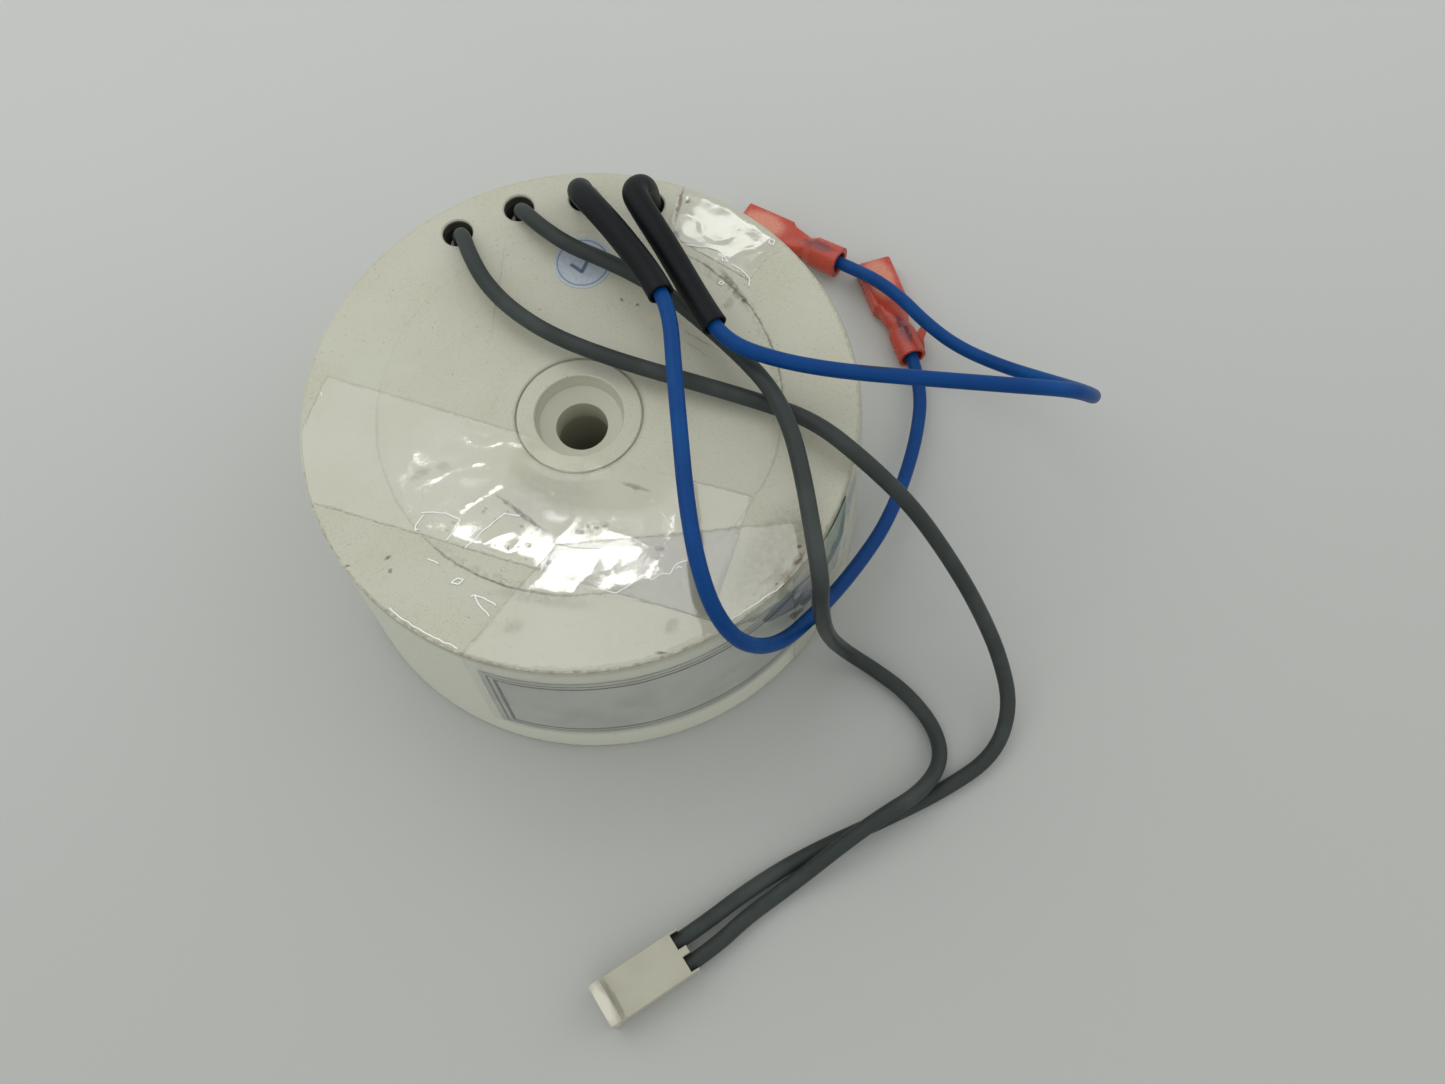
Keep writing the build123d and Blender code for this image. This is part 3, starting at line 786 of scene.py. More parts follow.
@dataclass(frozen=True)
class InspectionSticker:
    """Round silvery sticker with a plain tick and a thin ring."""

    name: str
    x: float = 7.2
    y: float = 28.9
    radius: float = 5.5
    tick: tuple[Flat, ...] = ((-2.2, 0.2), (-0.6, -1.9), (2.6, 2.3))
    stroke_edge: Flat = (0.42, 0.28)

    def build(self) -> bpy.types.Material:
        """Make the material."""
        shade = Shade(self.name)
        x, y, _ = shade.axes(shade.place())
        fine = shade.noise(1.6, 4.0, 0.6)
        colour = shade.mix(linear(176, 186, 192), linear(156, 166, 172), fine.fade(0.4, 0.7) * 0.6)
        ink = linear(66, 84, 118)
        ring = shade.radius(x - self.x, y - self.y).line(self.radius - 0.7, 0.2)
        colour = shade.mix(colour, ink, ring * 0.7)
        for start, end in zip(self.tick, self.tick[1:]):
            colour = shade.mix(colour, ink, self._stroke(shade, x, y, start, end) * 0.85)
        return shade.surface(Base_Color=colour, Roughness=0.42, Normal=shade.bump(fine, 0.01))

    def _stroke(self, shade: Shade, x: Value, y: Value, start: Flat, end: Flat) -> Value:
        """One straight stroke of the tick.

        Args:
            shade: The material.
            x: Position along X.
            y: Position along Y.
            start: Where it starts, from the sticker's centre.
            end: Where it ends.

        Returns:
            Its strength.
        """
        middle = ((start[0] + end[0]) / 2 + self.x, (start[1] + end[1]) / 2 + self.y)
        run = math.hypot(end[0] - start[0], end[1] - start[1])
        turn = math.atan2(end[1] - start[1], end[0] - start[0])
        along = (x - middle[0]) * math.cos(turn) + (y - middle[1]) * math.sin(turn)
        across = (y - middle[1]) * math.cos(turn) - (x - middle[0]) * math.sin(turn)
        side = across.absolute().fade(*self.stroke_edge)
        return along.absolute().fade(run / 2 + 0.3, run / 2) * side


@dataclass(frozen=True)
class ClearFilm:
    """Clear adhesive film with creases, a dirty edge and a gloss that one patch has lost."""

    name: str
    shine: float = 0.05
    haze: float = 0.025
    dull_centre: Point = (-1.0, -13.0, CAN_HEIGHT)
    dull_size: Point = (15.0, 8.0, 9.0)
    dull_turn: float = -28.0

    def build(self) -> bpy.types.Material:
        """Make the material."""
        shade = Shade(self.name)
        ripple = shade.noise(0.11, 3.0, 0.5, distortion=0.6)
        crinkle = shade.noise(0.8, 3.0, 0.6)
        normal = shade.bump(crinkle, 0.004, shade.bump(ripple, 0.02))
        clear = shade.node("ShaderNodeBsdfTransparent", None, {"Color": (0.996, 0.995, 0.988, 1.0)})
        layer = {"Blend": 0.12, "Normal": normal}
        facing = shade.node("ShaderNodeLayerWeight", None, layer, "Fresnel")
        mirror = {"Base Color": (1.0, 1.0, 1.0, 1.0), "Metallic": 1.0, "Roughness": 0.06}
        gloss = shade.node("ShaderNodeBsdfPrincipled", None, {**mirror, "Normal": normal})
        ragged = shade.warped(0.3, 1.5)
        patch = shade.ellipse(self.dull_centre, self.dull_size, self.dull_turn, ragged)
        dull = patch.fade(1.15, 0.85)
        share = (facing * 0.3 + self.shine).at_most(0.8) * (1.0 - dull * 0.92)
        film = shade.node("ShaderNodeMixShader", None, {0: share, 1: clear, 2: gloss})
        edge = shade.node("ShaderNodeAttribute", {"attribute_name": "edge"}, output="Fac")
        grit = shade.noise(1.3, 4.0, 0.7)
        soil = edge.fade(0.3, 0.05) * grit.fade(0.38, 0.7) * 0.45
        cloud = shade.noise(0.5, 4.0, 0.65).fade(0.62, 0.85) * self.haze * 2
        dirt = shade.mix(linear(216, 214, 200), linear(120, 110, 88), soil)
        matte = shade.node("ShaderNodeBsdfPrincipled", None, {"Base Color": dirt, "Roughness": 0.5})
        cover = (soil + cloud + self.haze * 0.5).at_most(0.9)
        return shade.close(shade.node("ShaderNodeMixShader", None, {0: cover, 1: film, 2: matte}))


class Craft:
    """Shared ways of making meshes and objects."""

    @staticmethod
    def link(name: str, data: Any) -> bpy.types.Object:
        """Add an object to the scene."""
        made = bpy.data.objects.new(name, data)
        bpy.context.scene.collection.objects.link(made)
        return made

    @staticmethod
    def shape(
        name: str,
        places: Sequence[Any],
        edges: Sequence[tuple[int, int]] = (),
        faces: Sequence[tuple[int, ...]] = (),
    ) -> bpy.types.Object:
        """Make a mesh object.

        Args:
            name: The piece's name.
            places: Its points, in metres.
            edges: Pairs of points that a line joins.
            faces: Loops of points that a face fills.

        Returns:
            The object.
        """
        mesh = bpy.data.meshes.new(name)
        mesh.from_pydata(places, edges, faces)
        return Craft.link(name, mesh)

    @staticmethod
    def plain(source: bpy.types.Object) -> bpy.types.Mesh:
        """The evaluated mesh of an object."""
        bpy.context.view_layer.update()
        graph = bpy.context.evaluated_depsgraph_get()
        return bpy.data.meshes.new_from_object(source.evaluated_get(graph), depsgraph=graph)

    @staticmethod
    def baked(made: bpy.types.Object) -> None:
        """Turn an object's live modifiers into plain mesh."""
        mesh = Craft.plain(made)
        made.modifiers.clear()
        made.data = mesh
        mesh.polygons.foreach_set("use_smooth", [True] * len(mesh.polygons))

    @staticmethod
    def walled(made: bpy.types.Object, thickness: float, offset: float) -> None:
        """Give a sheet its thickness.

        Args:
            made: The sheet.
            thickness: How thick it gets, in millimetres.
            offset: -1 grows it inwards, 1 outwards.
        """
        wall = made.modifiers.new("wall", "SOLIDIFY")
        wall.thickness = thickness * MM
        wall.offset = offset

    @staticmethod
    def dress(made: bpy.types.Object, material: bpy.types.Material) -> None:
        """Give an object one material."""
        made.data.materials.clear()
        made.data.materials.append(material)

    @staticmethod
    def close_sheet(
        made: bpy.types.Object, material: bpy.types.Material, thickness: float, slot: Slot, *nodes: str
    ) -> None:
        """Turn an open sheet into a finished piece that has grown outwards.

        Args:
            made: The sheet.
            material: Its finish.
            thickness: How thick it gets, in millimetres.
            slot: The slot that it takes its finish from.
            nodes: The solids that it stands for.
        """
        Craft.dress(made, material)
        Craft.walled(made, thickness, 1.0)
        Craft.baked(made)
        Craft.report(made, slot, *nodes)

    @staticmethod
    def report(made: bpy.types.Object, slot: Slot, *nodes: str) -> None:
        """Tie a finished piece to the part.

        Args:
            made: The piece.
            slot: Not used.
            nodes: The solids that it stands for.
        """
        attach(made, ROOT)
        if nodes:
            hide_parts(*nodes)
        LOG.info("piece %s made", made.name)


@dataclass
class Lead:
    """One flexible lead on its NURBS route."""

    name: str
    node: str
    route: list[Point]
    diameter: float
    slot: Slot
    resolution: int = 10
    round_steps: int = 6

    def build(self, material: bpy.types.Material) -> bpy.types.Object:
        """Lay the lead.

        Args:
            material: Its finish.

        Returns:
            The lead's curve object.
        """
        made = Craft.link(self.name, self._curve(self.name, self.diameter / 2 * MM))
        made.data.materials.append(material)
        Craft.report(made, self.slot, self.node)
        return made

    def _curve(self, name: str, radius: float) -> bpy.types.Curve:
        """Make the route's curve.

        Args:
            name: The curve's name.
            radius: Its tube radius in metres, 0 for a bare line.

        Returns:
            The curve data.
        """
        curve = bpy.data.curves.new(name, "CURVE")
        curve.dimensions = "3D"
        curve.resolution_u = self.resolution
        curve.bevel_depth = radius
        curve.bevel_resolution = self.round_steps
        curve.use_fill_caps = radius > 0
        spline = curve.splines.new("NURBS")
        spline.points.add(len(self.route) - 1)
        for target, point in zip(spline.points, self.route):
            target.co = (point[0] * MM, point[1] * MM, point[2] * MM, 1.0)
        spline.order_u = 3
        spline.use_endpoint_u = True
        spline.use_smooth = True
        return curve

    def line(self) -> list[Vector]:
        """Points along the route, read from its NURBS spline, in metres."""
        bare = Craft.link(self.name + "_line", self._curve(self.name + "_line", 0.0))
        mesh = Craft.plain(bare)
        points = [vertex.co.copy() for vertex in mesh.vertices]
        bpy.data.meshes.remove(mesh)
        bpy.data.objects.remove(bare)
        return points

    def declare(self) -> None:
        """Log how long the lead is.
        """
        points = self.line()
        length = sum((after - before).length for before, after in zip(points, points[1:]))
        tuple(value * MM for value in self.route[0])
        self.diameter * MM
        LOG.info("lead %s is %.1f mm long", self.name, length / MM)


class NodeTree:
    """A Geometry Nodes tree with named inputs."""

    def __init__(self, name: str, inputs: dict[str, str]) -> None:
        """Start a tree.

        Args:
            name: The tree's name.
            inputs: Socket type of each input after the geometry, by name.
        """
        self.tree = bpy.data.node_groups.new(name, "GeometryNodeTree")
        face = self.tree.interface
        face.new_socket("Geometry", in_out="INPUT", socket_type="NodeSocketGeometry")
        self.keys = {
            label: face.new_socket(label, in_out="INPUT", socket_type=kind).identifier
            for label, kind in inputs.items()
        }
        face.new_socket("Geometry", in_out="OUTPUT", socket_type="NodeSocketGeometry")
        self.start = self.tree.nodes.new("NodeGroupInput")

    def node(self, kind: str, inputs: dict[Union[int, str], Any], **settings: str) -> bpy.types.Node:
        """Make a node.

        Args:
            kind: Its type.
            inputs: Values or sockets that feed its inputs.
            settings: Its own settings.

        Returns:
            The node.
        """
        made = self.tree.nodes.new(kind)
        for key, value in settings.items():
            setattr(made, key, value)
        for key, value in inputs.items():
            if isinstance(value, bpy.types.NodeSocket):
                self.tree.links.new(value, made.inputs[key])
            else:
                made.inputs[key].default_value = value
        return made

    def given(self, label: str) -> bpy.types.NodeSocket:
        """The socket of a named input."""
        return self.start.outputs[label]

    def finish(self, geometry_socket: bpy.types.NodeSocket) -> None:
        """Close the tree with real geometry and its finish."""
        real = self.node("GeometryNodeRealizeInstances", {0: geometry_socket})
        painted = {0: real.outputs[0], "Material": self.given("Material")}
        paint = self.node("GeometryNodeSetMaterial", painted)
        self.node("NodeGroupOutput", {0: paint.outputs[0]})

    def apply(self, made: bpy.types.Object, values: dict[str, Any]) -> None:
        """Put the tree on an object.

        Args:
            made: The object.
            values: The named inputs.
        """
        modifier = made.modifiers.new(self.tree.name, "NODES")
        modifier.node_group = self.tree
        for label, value in values.items():
            modifier[self.keys[label]] = value


class TubeTree(NodeTree):
    """Wraps a tube round a line."""

    def __init__(self) -> None:
        """Build the tree."""
        kinds = {
            "Radius": "NodeSocketFloat",
            "Sides": "NodeSocketInt",
            "Material": "NodeSocketMaterial",
        }
        super().__init__("tube_along_line", kinds)
        line = self.node("GeometryNodeMeshToCurve", {"Mesh": self.given("Geometry")})
        sizes = {"Radius": self.given("Radius"), "Resolution": self.given("Sides")}
        circle = self.node("GeometryNodeCurvePrimitiveCircle", sizes)
        ways = {"Curve": line.outputs[0], "Profile Curve": circle.outputs[0]}
        sweep = self.node("GeometryNodeCurveToMesh", ways)
        self.finish(sweep.outputs[0])

    def wrap(
        self, made: bpy.types.Object, radius: float, sides: int, material: bpy.types.Material
    ) -> None:
        """Put a tube round an object's edges.

        Args:
            made: The object.
            radius: The tube's radius, in millimetres.
            sides: How many sides it gets.
            material: Its finish.
        """
        self.apply(made, {"Radius": radius * MM, "Sides": sides, "Material": material})


class BubbleTree(NodeTree):
    """Scatters small flat bubbles over a sheet."""

    def __init__(self) -> None:
        """Build the tree."""
        kinds = {
            "Density": "NodeSocketFloat",
            "Smallest": "NodeSocketFloat",
            "Largest": "NodeSocketFloat",
            "Seed": "NodeSocketInt",
            "Material": "NodeSocketMaterial",
        }
        super().__init__("bubbles_in_film", kinds)
        seed = {"Seed": self.given("Seed")}
        spread = {"Mesh": self.given("Geometry"), "Density": self.given("Density"), **seed}
        points = self.node("GeometryNodeDistributePointsOnFaces", spread)
        ball = self.node("GeometryNodeMeshUVSphere", {"Segments": 14, "Rings": 7, "Radius": 1.0})
        sizes = {2: self.given("Smallest"), 3: self.given("Largest"), **seed}
        size = self.node("FunctionNodeRandomValue", sizes, data_type="FLOAT")
        shapes = {0: (0.6, 0.8, 0.12), 1: (1.8, 1.0, 0.2), **seed}
        stretch = self.node("FunctionNodeRandomValue", shapes, data_type="FLOAT_VECTOR")
        factors = {0: stretch.outputs[0], "Scale": size.outputs[1]}
        scale = self.node("ShaderNodeVectorMath", factors, operation="SCALE")
        spots = {
            "Points": points.outputs["Points"],
            "Instance": ball.outputs["Mesh"],
            "Rotation": points.outputs["Rotation"],
            "Scale": scale.outputs[0],
        }
        domes = self.node("GeometryNodeInstanceOnPoints", spots)
        self.finish(domes.outputs[0])


@dataclass
class Sleeve:
    """Insulating sleeve over the start of a blue lead."""

    name: str
    node: str
    lead: Lead
    last_corner: int
    diameter: float = 4.7
    wall: float = 0.5
    sides: int = 40

    def build(self, tubes: TubeTree, material: bpy.types.Material) -> bpy.types.Object:
        """Pull the sleeve over its lead.

        Args:
            tubes: The tree that wraps a tube round a line.
            material: The sleeve's finish.

        Returns:
            The sleeve's object.
        """
        corner, after = (Vector(self.lead.route[self.last_corner + step]) * MM for step in (0, 1))
        end = (corner + after) / 2
        points = self.lead.line()
        last = min(range(len(points)), key=lambda index: (points[index] - end).length)
        points = points[:last] + [end]
        made = Craft.shape(self.name, points, [(index, index + 1) for index in range(last)])
        tubes.wrap(made, self.diameter / 2, self.sides, material)
        Craft.walled(made, self.wall, -1.0)
        Craft.baked(made)
        Craft.report(made, Slot.SLEEVE, self.node)
        return made


@dataclass
class SeamRing:
    """A darker ring that fills the seam round the bush."""

    name: str = "seam_ring"
    radius: float = 11.5
    thickness: float = 0.34
    below: float = 0.14
    steps: int = 120
    sides: int = 12

    def build(self, tubes: TubeTree, material: bpy.types.Material) -> None:
        """Fill the seam.

        Args:
            tubes: The tree that wraps a tube round a line.
            material: The ring's finish.
        """
        centre = Vector((BUSH_X, BUSH_Y, DISH_FLOOR - self.below))
        turns = [2 * math.pi * index / self.steps for index in range(self.steps)]
        arms = [Vector((math.cos(turn), math.sin(turn), 0.0)) * self.radius for turn in turns]
        edges = [(index, (index + 1) % self.steps) for index in range(self.steps)]
        made = Craft.shape(self.name, [(centre + arm) * MM for arm in arms], edges)
        tubes.wrap(made, self.thickness / 2, self.sides, material)
        Craft.baked(made)
        Craft.report(made, Slot.CAN)


def around(radius: float, turn: float) -> Flat:
    """A spot at a distance and a direction from the middle."""
    return (radius * math.cos(turn), radius * math.sin(turn))


def between(start: Flat, end: Flat, share: float) -> Flat:
    """A spot at a share of the way between two spots."""
    return (start[0] + (end[0] - start[0]) * share, start[1] + (end[1] - start[1]) * share)


def jitter(spot: Flat, point: Vector, reach: float, turned: Vector) -> Flat:
    """Move a spot a little by noise.

    Args:
        spot: The spot.
        point: Where the noise is read.
        reach: How far it may move, in millimetres.
        turned: How much further on the noise along Y is read.

    Returns:
        The moved spot.
    """
    return (spot[0] + reach * noise.noise(point), spot[1] + reach * noise.noise(point + turned))


@dataclass
class CanSheet:
    """The can's outside as one flat sheet, from the middle of its top out and down its wall."""

    rim_round: float = 0.6

    def rim_end(self) -> float:
        """Distance from the middle to where the wall starts."""
        return CAN_TOP_RADIUS - self.rim_round + self.rim_round * math.pi / 2

    def reach(self, height: float) -> float:
        """Distance from the middle to a height on the wall."""
        return self.rim_end() + CAN_HEIGHT - self.rim_round - height

    def wall_radius(self, height: float) -> float:
        """Radius of the wall at a height."""
        return CAN_BASE_RADIUS + (CAN_TOP_RADIUS - CAN_BASE_RADIUS) * height / CAN_HEIGHT

    def profile(self, run: float) -> tuple[float, float, float, float]:
        """Radius, height and outward direction at a distance from the middle.

        Args:
            run: The distance along the surface, in millimetres.

        Returns:
            Radius, height, and the direction's share along the radius and along Z.
        """
        flat_end = CAN_TOP_RADIUS - self.rim_round
        if run < DISH_RADIUS:
            rise = max(0.0, run - DISH_FLAT_RADIUS) / (DISH_RADIUS - DISH_FLAT_RADIUS)
            return run, DISH_FLOOR + rise * DISH_DEPTH, 0.0, 1.0
        if run < flat_end:
            return run, CAN_HEIGHT, 0.0, 1.0
        if run < self.rim_end():
            turn = (run - flat_end) / self.rim_round
            radius = flat_end + self.rim_round * math.sin(turn)
            height = CAN_HEIGHT - self.rim_round * (1 - math.cos(turn))
            return radius, height, math.sin(turn), math.cos(turn)
        height = CAN_HEIGHT - self.rim_round - (run - self.rim_end())
        return self.wall_radius(height), height, 1.0, 0.0

    def place(self, spot: Flat, lift: float) -> Vector:
        """Where a spot on the sheet lies, in metres.

        Args:
            spot: The spot on the flat sheet.
            lift: How far it stands off the can, in millimetres.

        Returns:
            The place.
        """
        run = math.hypot(spot[0], spot[1])
        turn = math.atan2(spot[1], spot[0])
        radius, height, outward, upward = self.profile(run)
        across = radius + outward * lift
        level = height + upward * lift
        return Vector((across * math.cos(turn), across * math.sin(turn), level)) * MM

    def wall_place(self, turn: float, height: float, lift: float) -> Vector:
        """Where a spot of the wall lies, in metres.

        Args:
            turn: Its direction from the can's middle, in radians.
            height: Its height, in millimetres.
            lift: How far it stands off the wall, in millimetres.

        Returns:
            The place.
        """
        return self.place(around(self.reach(height), turn), lift)


@dataclass
class FilmPiece:
    """A length of clear film stuck to the can, cut to an outline seen from above."""

    name: str
    node: str
    corners: list[Flat]
    dirty_sides: tuple[int, ...]
    low: float
    lift: float
    seed: int
    pleat: float = 0.14
    step: float = 0.55
    edge_step: float = 0.9
    ragged: float = 0.18
    thickness: float = 0.02

    def build(self, sheet: CanSheet, material: bpy.types.Material) -> None:
        """Lay the film.

        Args:
            sheet: The can's outside.
            material: The film's finish.
        """
        outline = self._outline(sheet)
        inner = self._inner_points(outline)
        edges = [(index, (index + 1) % len(outline)) for index in range(len(outline))]
        flat = [Vector(spot) for spot in outline + inner]
        spots, _, faces, *_ = geometry.delaunay_2d_cdt(flat, edges, [], 1, 1e-5)
        rows = np.array([tuple(spot) for spot in spots])
        margins = self._margins(rows, np.array(outline), np.roll(outline, -1, axis=0))
        lifts = [self._lift(spot, margin) for spot, margin in zip(spots, margins)]
        places = [sheet.place(tuple(spot), lift) for spot, lift in zip(spots, lifts)]
        starts, ends = np.array(self.corners), np.roll(self.corners, -1, axis=0)
        dirty = list(self.dirty_sides)
        dirt = self._margins(rows, starts[dirty], ends[dirty])
        made = Craft.shape(self.name, places, faces=[tuple(face) for face in faces])
        attribute = made.data.attributes.new("edge", "FLOAT", "POINT")
        attribute.data.foreach_set("value", dirt.astype(np.float32))
        Craft.close_sheet(made, material, self.thickness, Slot.TAPE, self.node)

    def _lift(self, spot: Vector, margin: float) -> float:
        """Height of the film over the can at a spot, in millimetres."""
        run = math.hypot(spot.x, spot.y)
        on_wall = min(1.0, max(0.0, (run - CAN_TOP_RADIUS + 4) / 8))
        point = Vector((spot.x, spot.y, float(self.seed)))
        broad = 0.035 * noise.noise(point * 0.11) + 0.014 * noise.noise(point * 0.31)
        creases = 1 - abs(noise.noise(point * 0.13 + Vector((9.0, 2.0, 0.0)))) * 9
        pleats = on_wall * self.pleat * max(0.0, noise.noise(point * 0.2) + 0.35)
        loose = max(0.0, creases) * 0.02 + pleats
        grip = min(1.0, 0.25 + margin / 2)
        return self.lift + (0.06 + broad + loose) * grip

    def _outline(self, sheet: CanSheet) -> list[Flat]:
        """Outline on the flat sheet, in short steps."""
        walk: list[Flat] = []
        for start, end in zip(self.corners, self.corners[1:] + self.corners[:1]):
            steps = max(1, round(math.dist(start, end) / self.edge_step))
            walk += [between(start, end, index / steps) for index in range(steps)]
        on_top = [math.hypot(*spot) < CAN_TOP_RADIUS for spot in walk]
        first = next(index for index in range(len(walk)) if on_top[index] and not on_top[index - 1])
        walk = walk[first:] + walk[:first]
        on_top = on_top[first:] + on_top[:first]
        inside = walk[: on_top.index(False)] if False in on_top else walk
        leave = math.atan2(inside[-1][1], inside[-1][0])
        enter = math.atan2(inside[0][1], inside[0][0])
        sweep = (enter - leave + math.pi) % (2 * math.pi) - math.pi
        bottom = sheet.reach(self.low)
        drop = np.arange(CAN_TOP_RADIUS, bottom, self.edge_step)
        steps = max(2, round(abs(sweep) * bottom / self.edge_step))
        wall = [around(run, leave) for run in drop]
        wall += [around(bottom, turn) for turn in np.linspace(leave, leave + sweep, steps)]
        wall += [around(run, enter) for run in drop[::-1]]
        return [self._ragged(spot) for spot in inside + wall]

    def _ragged(self, spot: Flat) -> Flat:
        """A spot of the outline, moved a little."""
        point = Vector((spot[0], spot[1], self.seed * 3.7)) * 0.7
        return jitter(spot, point, self.ragged, Vector((5, 5, 0)))

    def _margins(self, spots: np.ndarray, start: np.ndarray, end: np.ndarray) -> np.ndarray:
        """Distance of each spot from the nearest of some straight edges.

        Args:
            spots: The spots, one a row.
            start: Where each edge starts.
            end: Where each edge ends.

        Returns:
            The distances in millimetres.
        """
        run = end - start
        square = np.maximum((run**2).sum(axis=1), 1e-9)
        gap = spots[:, None, :] - start[None, :, :]
        share = np.clip((gap * run).sum(axis=2) / square, 0, 1)
        return np.sqrt(((gap - share[:, :, None] * run) ** 2).sum(axis=2)).min(axis=1)

    def _inner_points(self, outline: list[Flat]) -> list[Flat]:
        """Scattered points inside the outline, a step apart."""
        random = np.random.default_rng(self.seed)
        border = np.array(outline)
        low, high = border.min(axis=0), border.max(axis=0)
        ticks = [np.arange(first, last, self.step) for first, last in zip(low, high)]
        grid = np.stack(np.meshgrid(*ticks), axis=-1)
        spots = grid.reshape(-1, 2) + random.uniform(-self.ragged, self.ragged, (grid.size // 2, 2))
        start, end = border, np.roll(border, -1, axis=0)
        crossed = (start[:, 1] > spots[:, None, 1]) != (end[:, 1] > spots[:, None, 1])
        rise = np.where(end[:, 1] == start[:, 1], 1e-9, end[:, 1] - start[:, 1])
        meet = start[:, 0] + (spots[:, None, 1] - start[:, 1]) / rise * (end[:, 0] - start[:, 0])
        inside = (crossed & (spots[:, None, 0] < meet)).sum(axis=1) % 2 == 1
        spots = spots[inside]
        return [tuple(spot) for spot in spots[self._margins(spots, start, end) > self.step * 0.6]]


@dataclass
class WallSheet:
    """A sheet round the can's wall, made as a grid."""

    name: str
    start: float
    end: float
    low: float
    high: float
    columns: int
    rows: int
    thickness: float

    def shares(self) -> list[Flat]:
        """Share of the way round and of the way up of each point."""
        rows, columns = range(self.rows + 1), range(self.columns + 1)
        return [(column / self.columns, row / self.rows) for row in rows for column in columns]

    def grid(self, sheet: CanSheet, shares: list[Flat], lifts: list[float]) -> bpy.types.Object:
        """Make the grid.

        Args:
            sheet: The can's outside.
            shares: What shares() gives.
            lifts: How far each point stands off the wall, in millimetres.

        Returns:
            The open sheet.
        """
        places = []
        for (across, up), lift in zip(shares, lifts):
            turn = math.radians(self.start + (self.end - self.start) * across)
            places.append(sheet.wall_place(turn, self.low + (self.high - self.low) * up, lift))
        faces = []
        for row in range(self.rows):
            for column in range(self.columns):
                corner = row * (self.columns + 1) + column
                above = corner + self.columns + 1
                faces.append((corner, corner + 1, above + 1, above))
        return Craft.shape(self.name, places, faces=faces)


@dataclass
class WallFilm(WallSheet):
    """Loose film that stands off the can's wall beside the label."""

    name: str = "film_loose_on_wall"
    start: float = -57.0
    end: float = 14.0
    low: float = 0.8
    high: float = 43.6
    columns: int = 150
    rows: int = 50
    thickness: float = 0.05
    gap: float = 0.38
    margin_scale: float = 60.0

    def build(self, sheet: CanSheet, material: bpy.types.Material) -> None:
        """Hang the film on the wall.

        Args:
            sheet: The can's outside.
            material: The film's finish.
        """
        shares = self.shares()
        made = self.grid(sheet, shares, [self.gap + self._bulge(*share) for share in shares])
        margins = [min(across, 1 - across) * self.margin_scale for across, _ in shares]
        attribute = made.data.attributes.new("edge", "FLOAT", "POINT")
        attribute.data.foreach_set("value", margins)
        Craft.close_sheet(made, material, self.thickness, Slot.TAPE)

    def _bulge(self, across: float, up: float) -> float:
        """How much further the film stands out, in millimetres.

        Args:
            across: Share of the way round.
            up: Share of the way up.

        Returns:
            The distance.
        """
        body = math.sin(math.pi * min(1.0, across * 1.15)) * (0.35 + 0.65 * math.sin(math.pi * up))
        fold = noise.noise(Vector((across * 9.0, up * 2.2, 4.0)))
        fold += 0.5 * noise.noise(Vector((across * 22.0, up * 4.0, 1.0)))
        return max(0.0, 0.55 * body + 0.4 * body * fold)


@dataclass
class LabelSheet(WallSheet):
    """Paper label wrapped round the wall, slightly cockled under its film."""

    name: str = "paper_label_sheet"
    start: float = -124.0
    end: float = -44.0
    low: float = 10.0
    high: float = 38.5
    columns: int = 160
    rows: int = 64
    thickness: float = 0.1
    node: str = "paper_label"

    def width(self) -> float:
        """Length round the wall, in millimetres."""
        return math.radians(self.end - self.start) * CAN_TOP_RADIUS

    def height(self) -> float:
        """Length up the wall, in millimetres."""
        return self.high - self.low

    def build(self, sheet: CanSheet, material: bpy.types.Material) -> None:
        """Stick the label on.

        Args:
            sheet: The can's outside.
            material: The label's finish.
        """
        shares = self.shares()
        made = self.grid(sheet, shares, [self._lift(*share) for share in shares])
        layer = made.data.uv_layers.new(name="sheet")
        spots = [(across * self.width() * MM, up * self.height() * MM) for across, up in shares]
        order = [loop.vertex_index for loop in made.data.loops]
        layer.data.foreach_set("uv", [value for index in order for value in spots[index]])
        Craft.close_sheet(made, material, self.thickness, Slot.LABEL, self.node)

    def _lift(self, across: float, up: float) -> float:
        """How far the label stands off the wall, in millimetres."""
        spot = Vector((across * 9.0, up * 3.0, 2.0))
        return 0.06 + 0.1 * max(0.0, noise.noise(spot) + 0.3 * noise.noise(spot * 3))
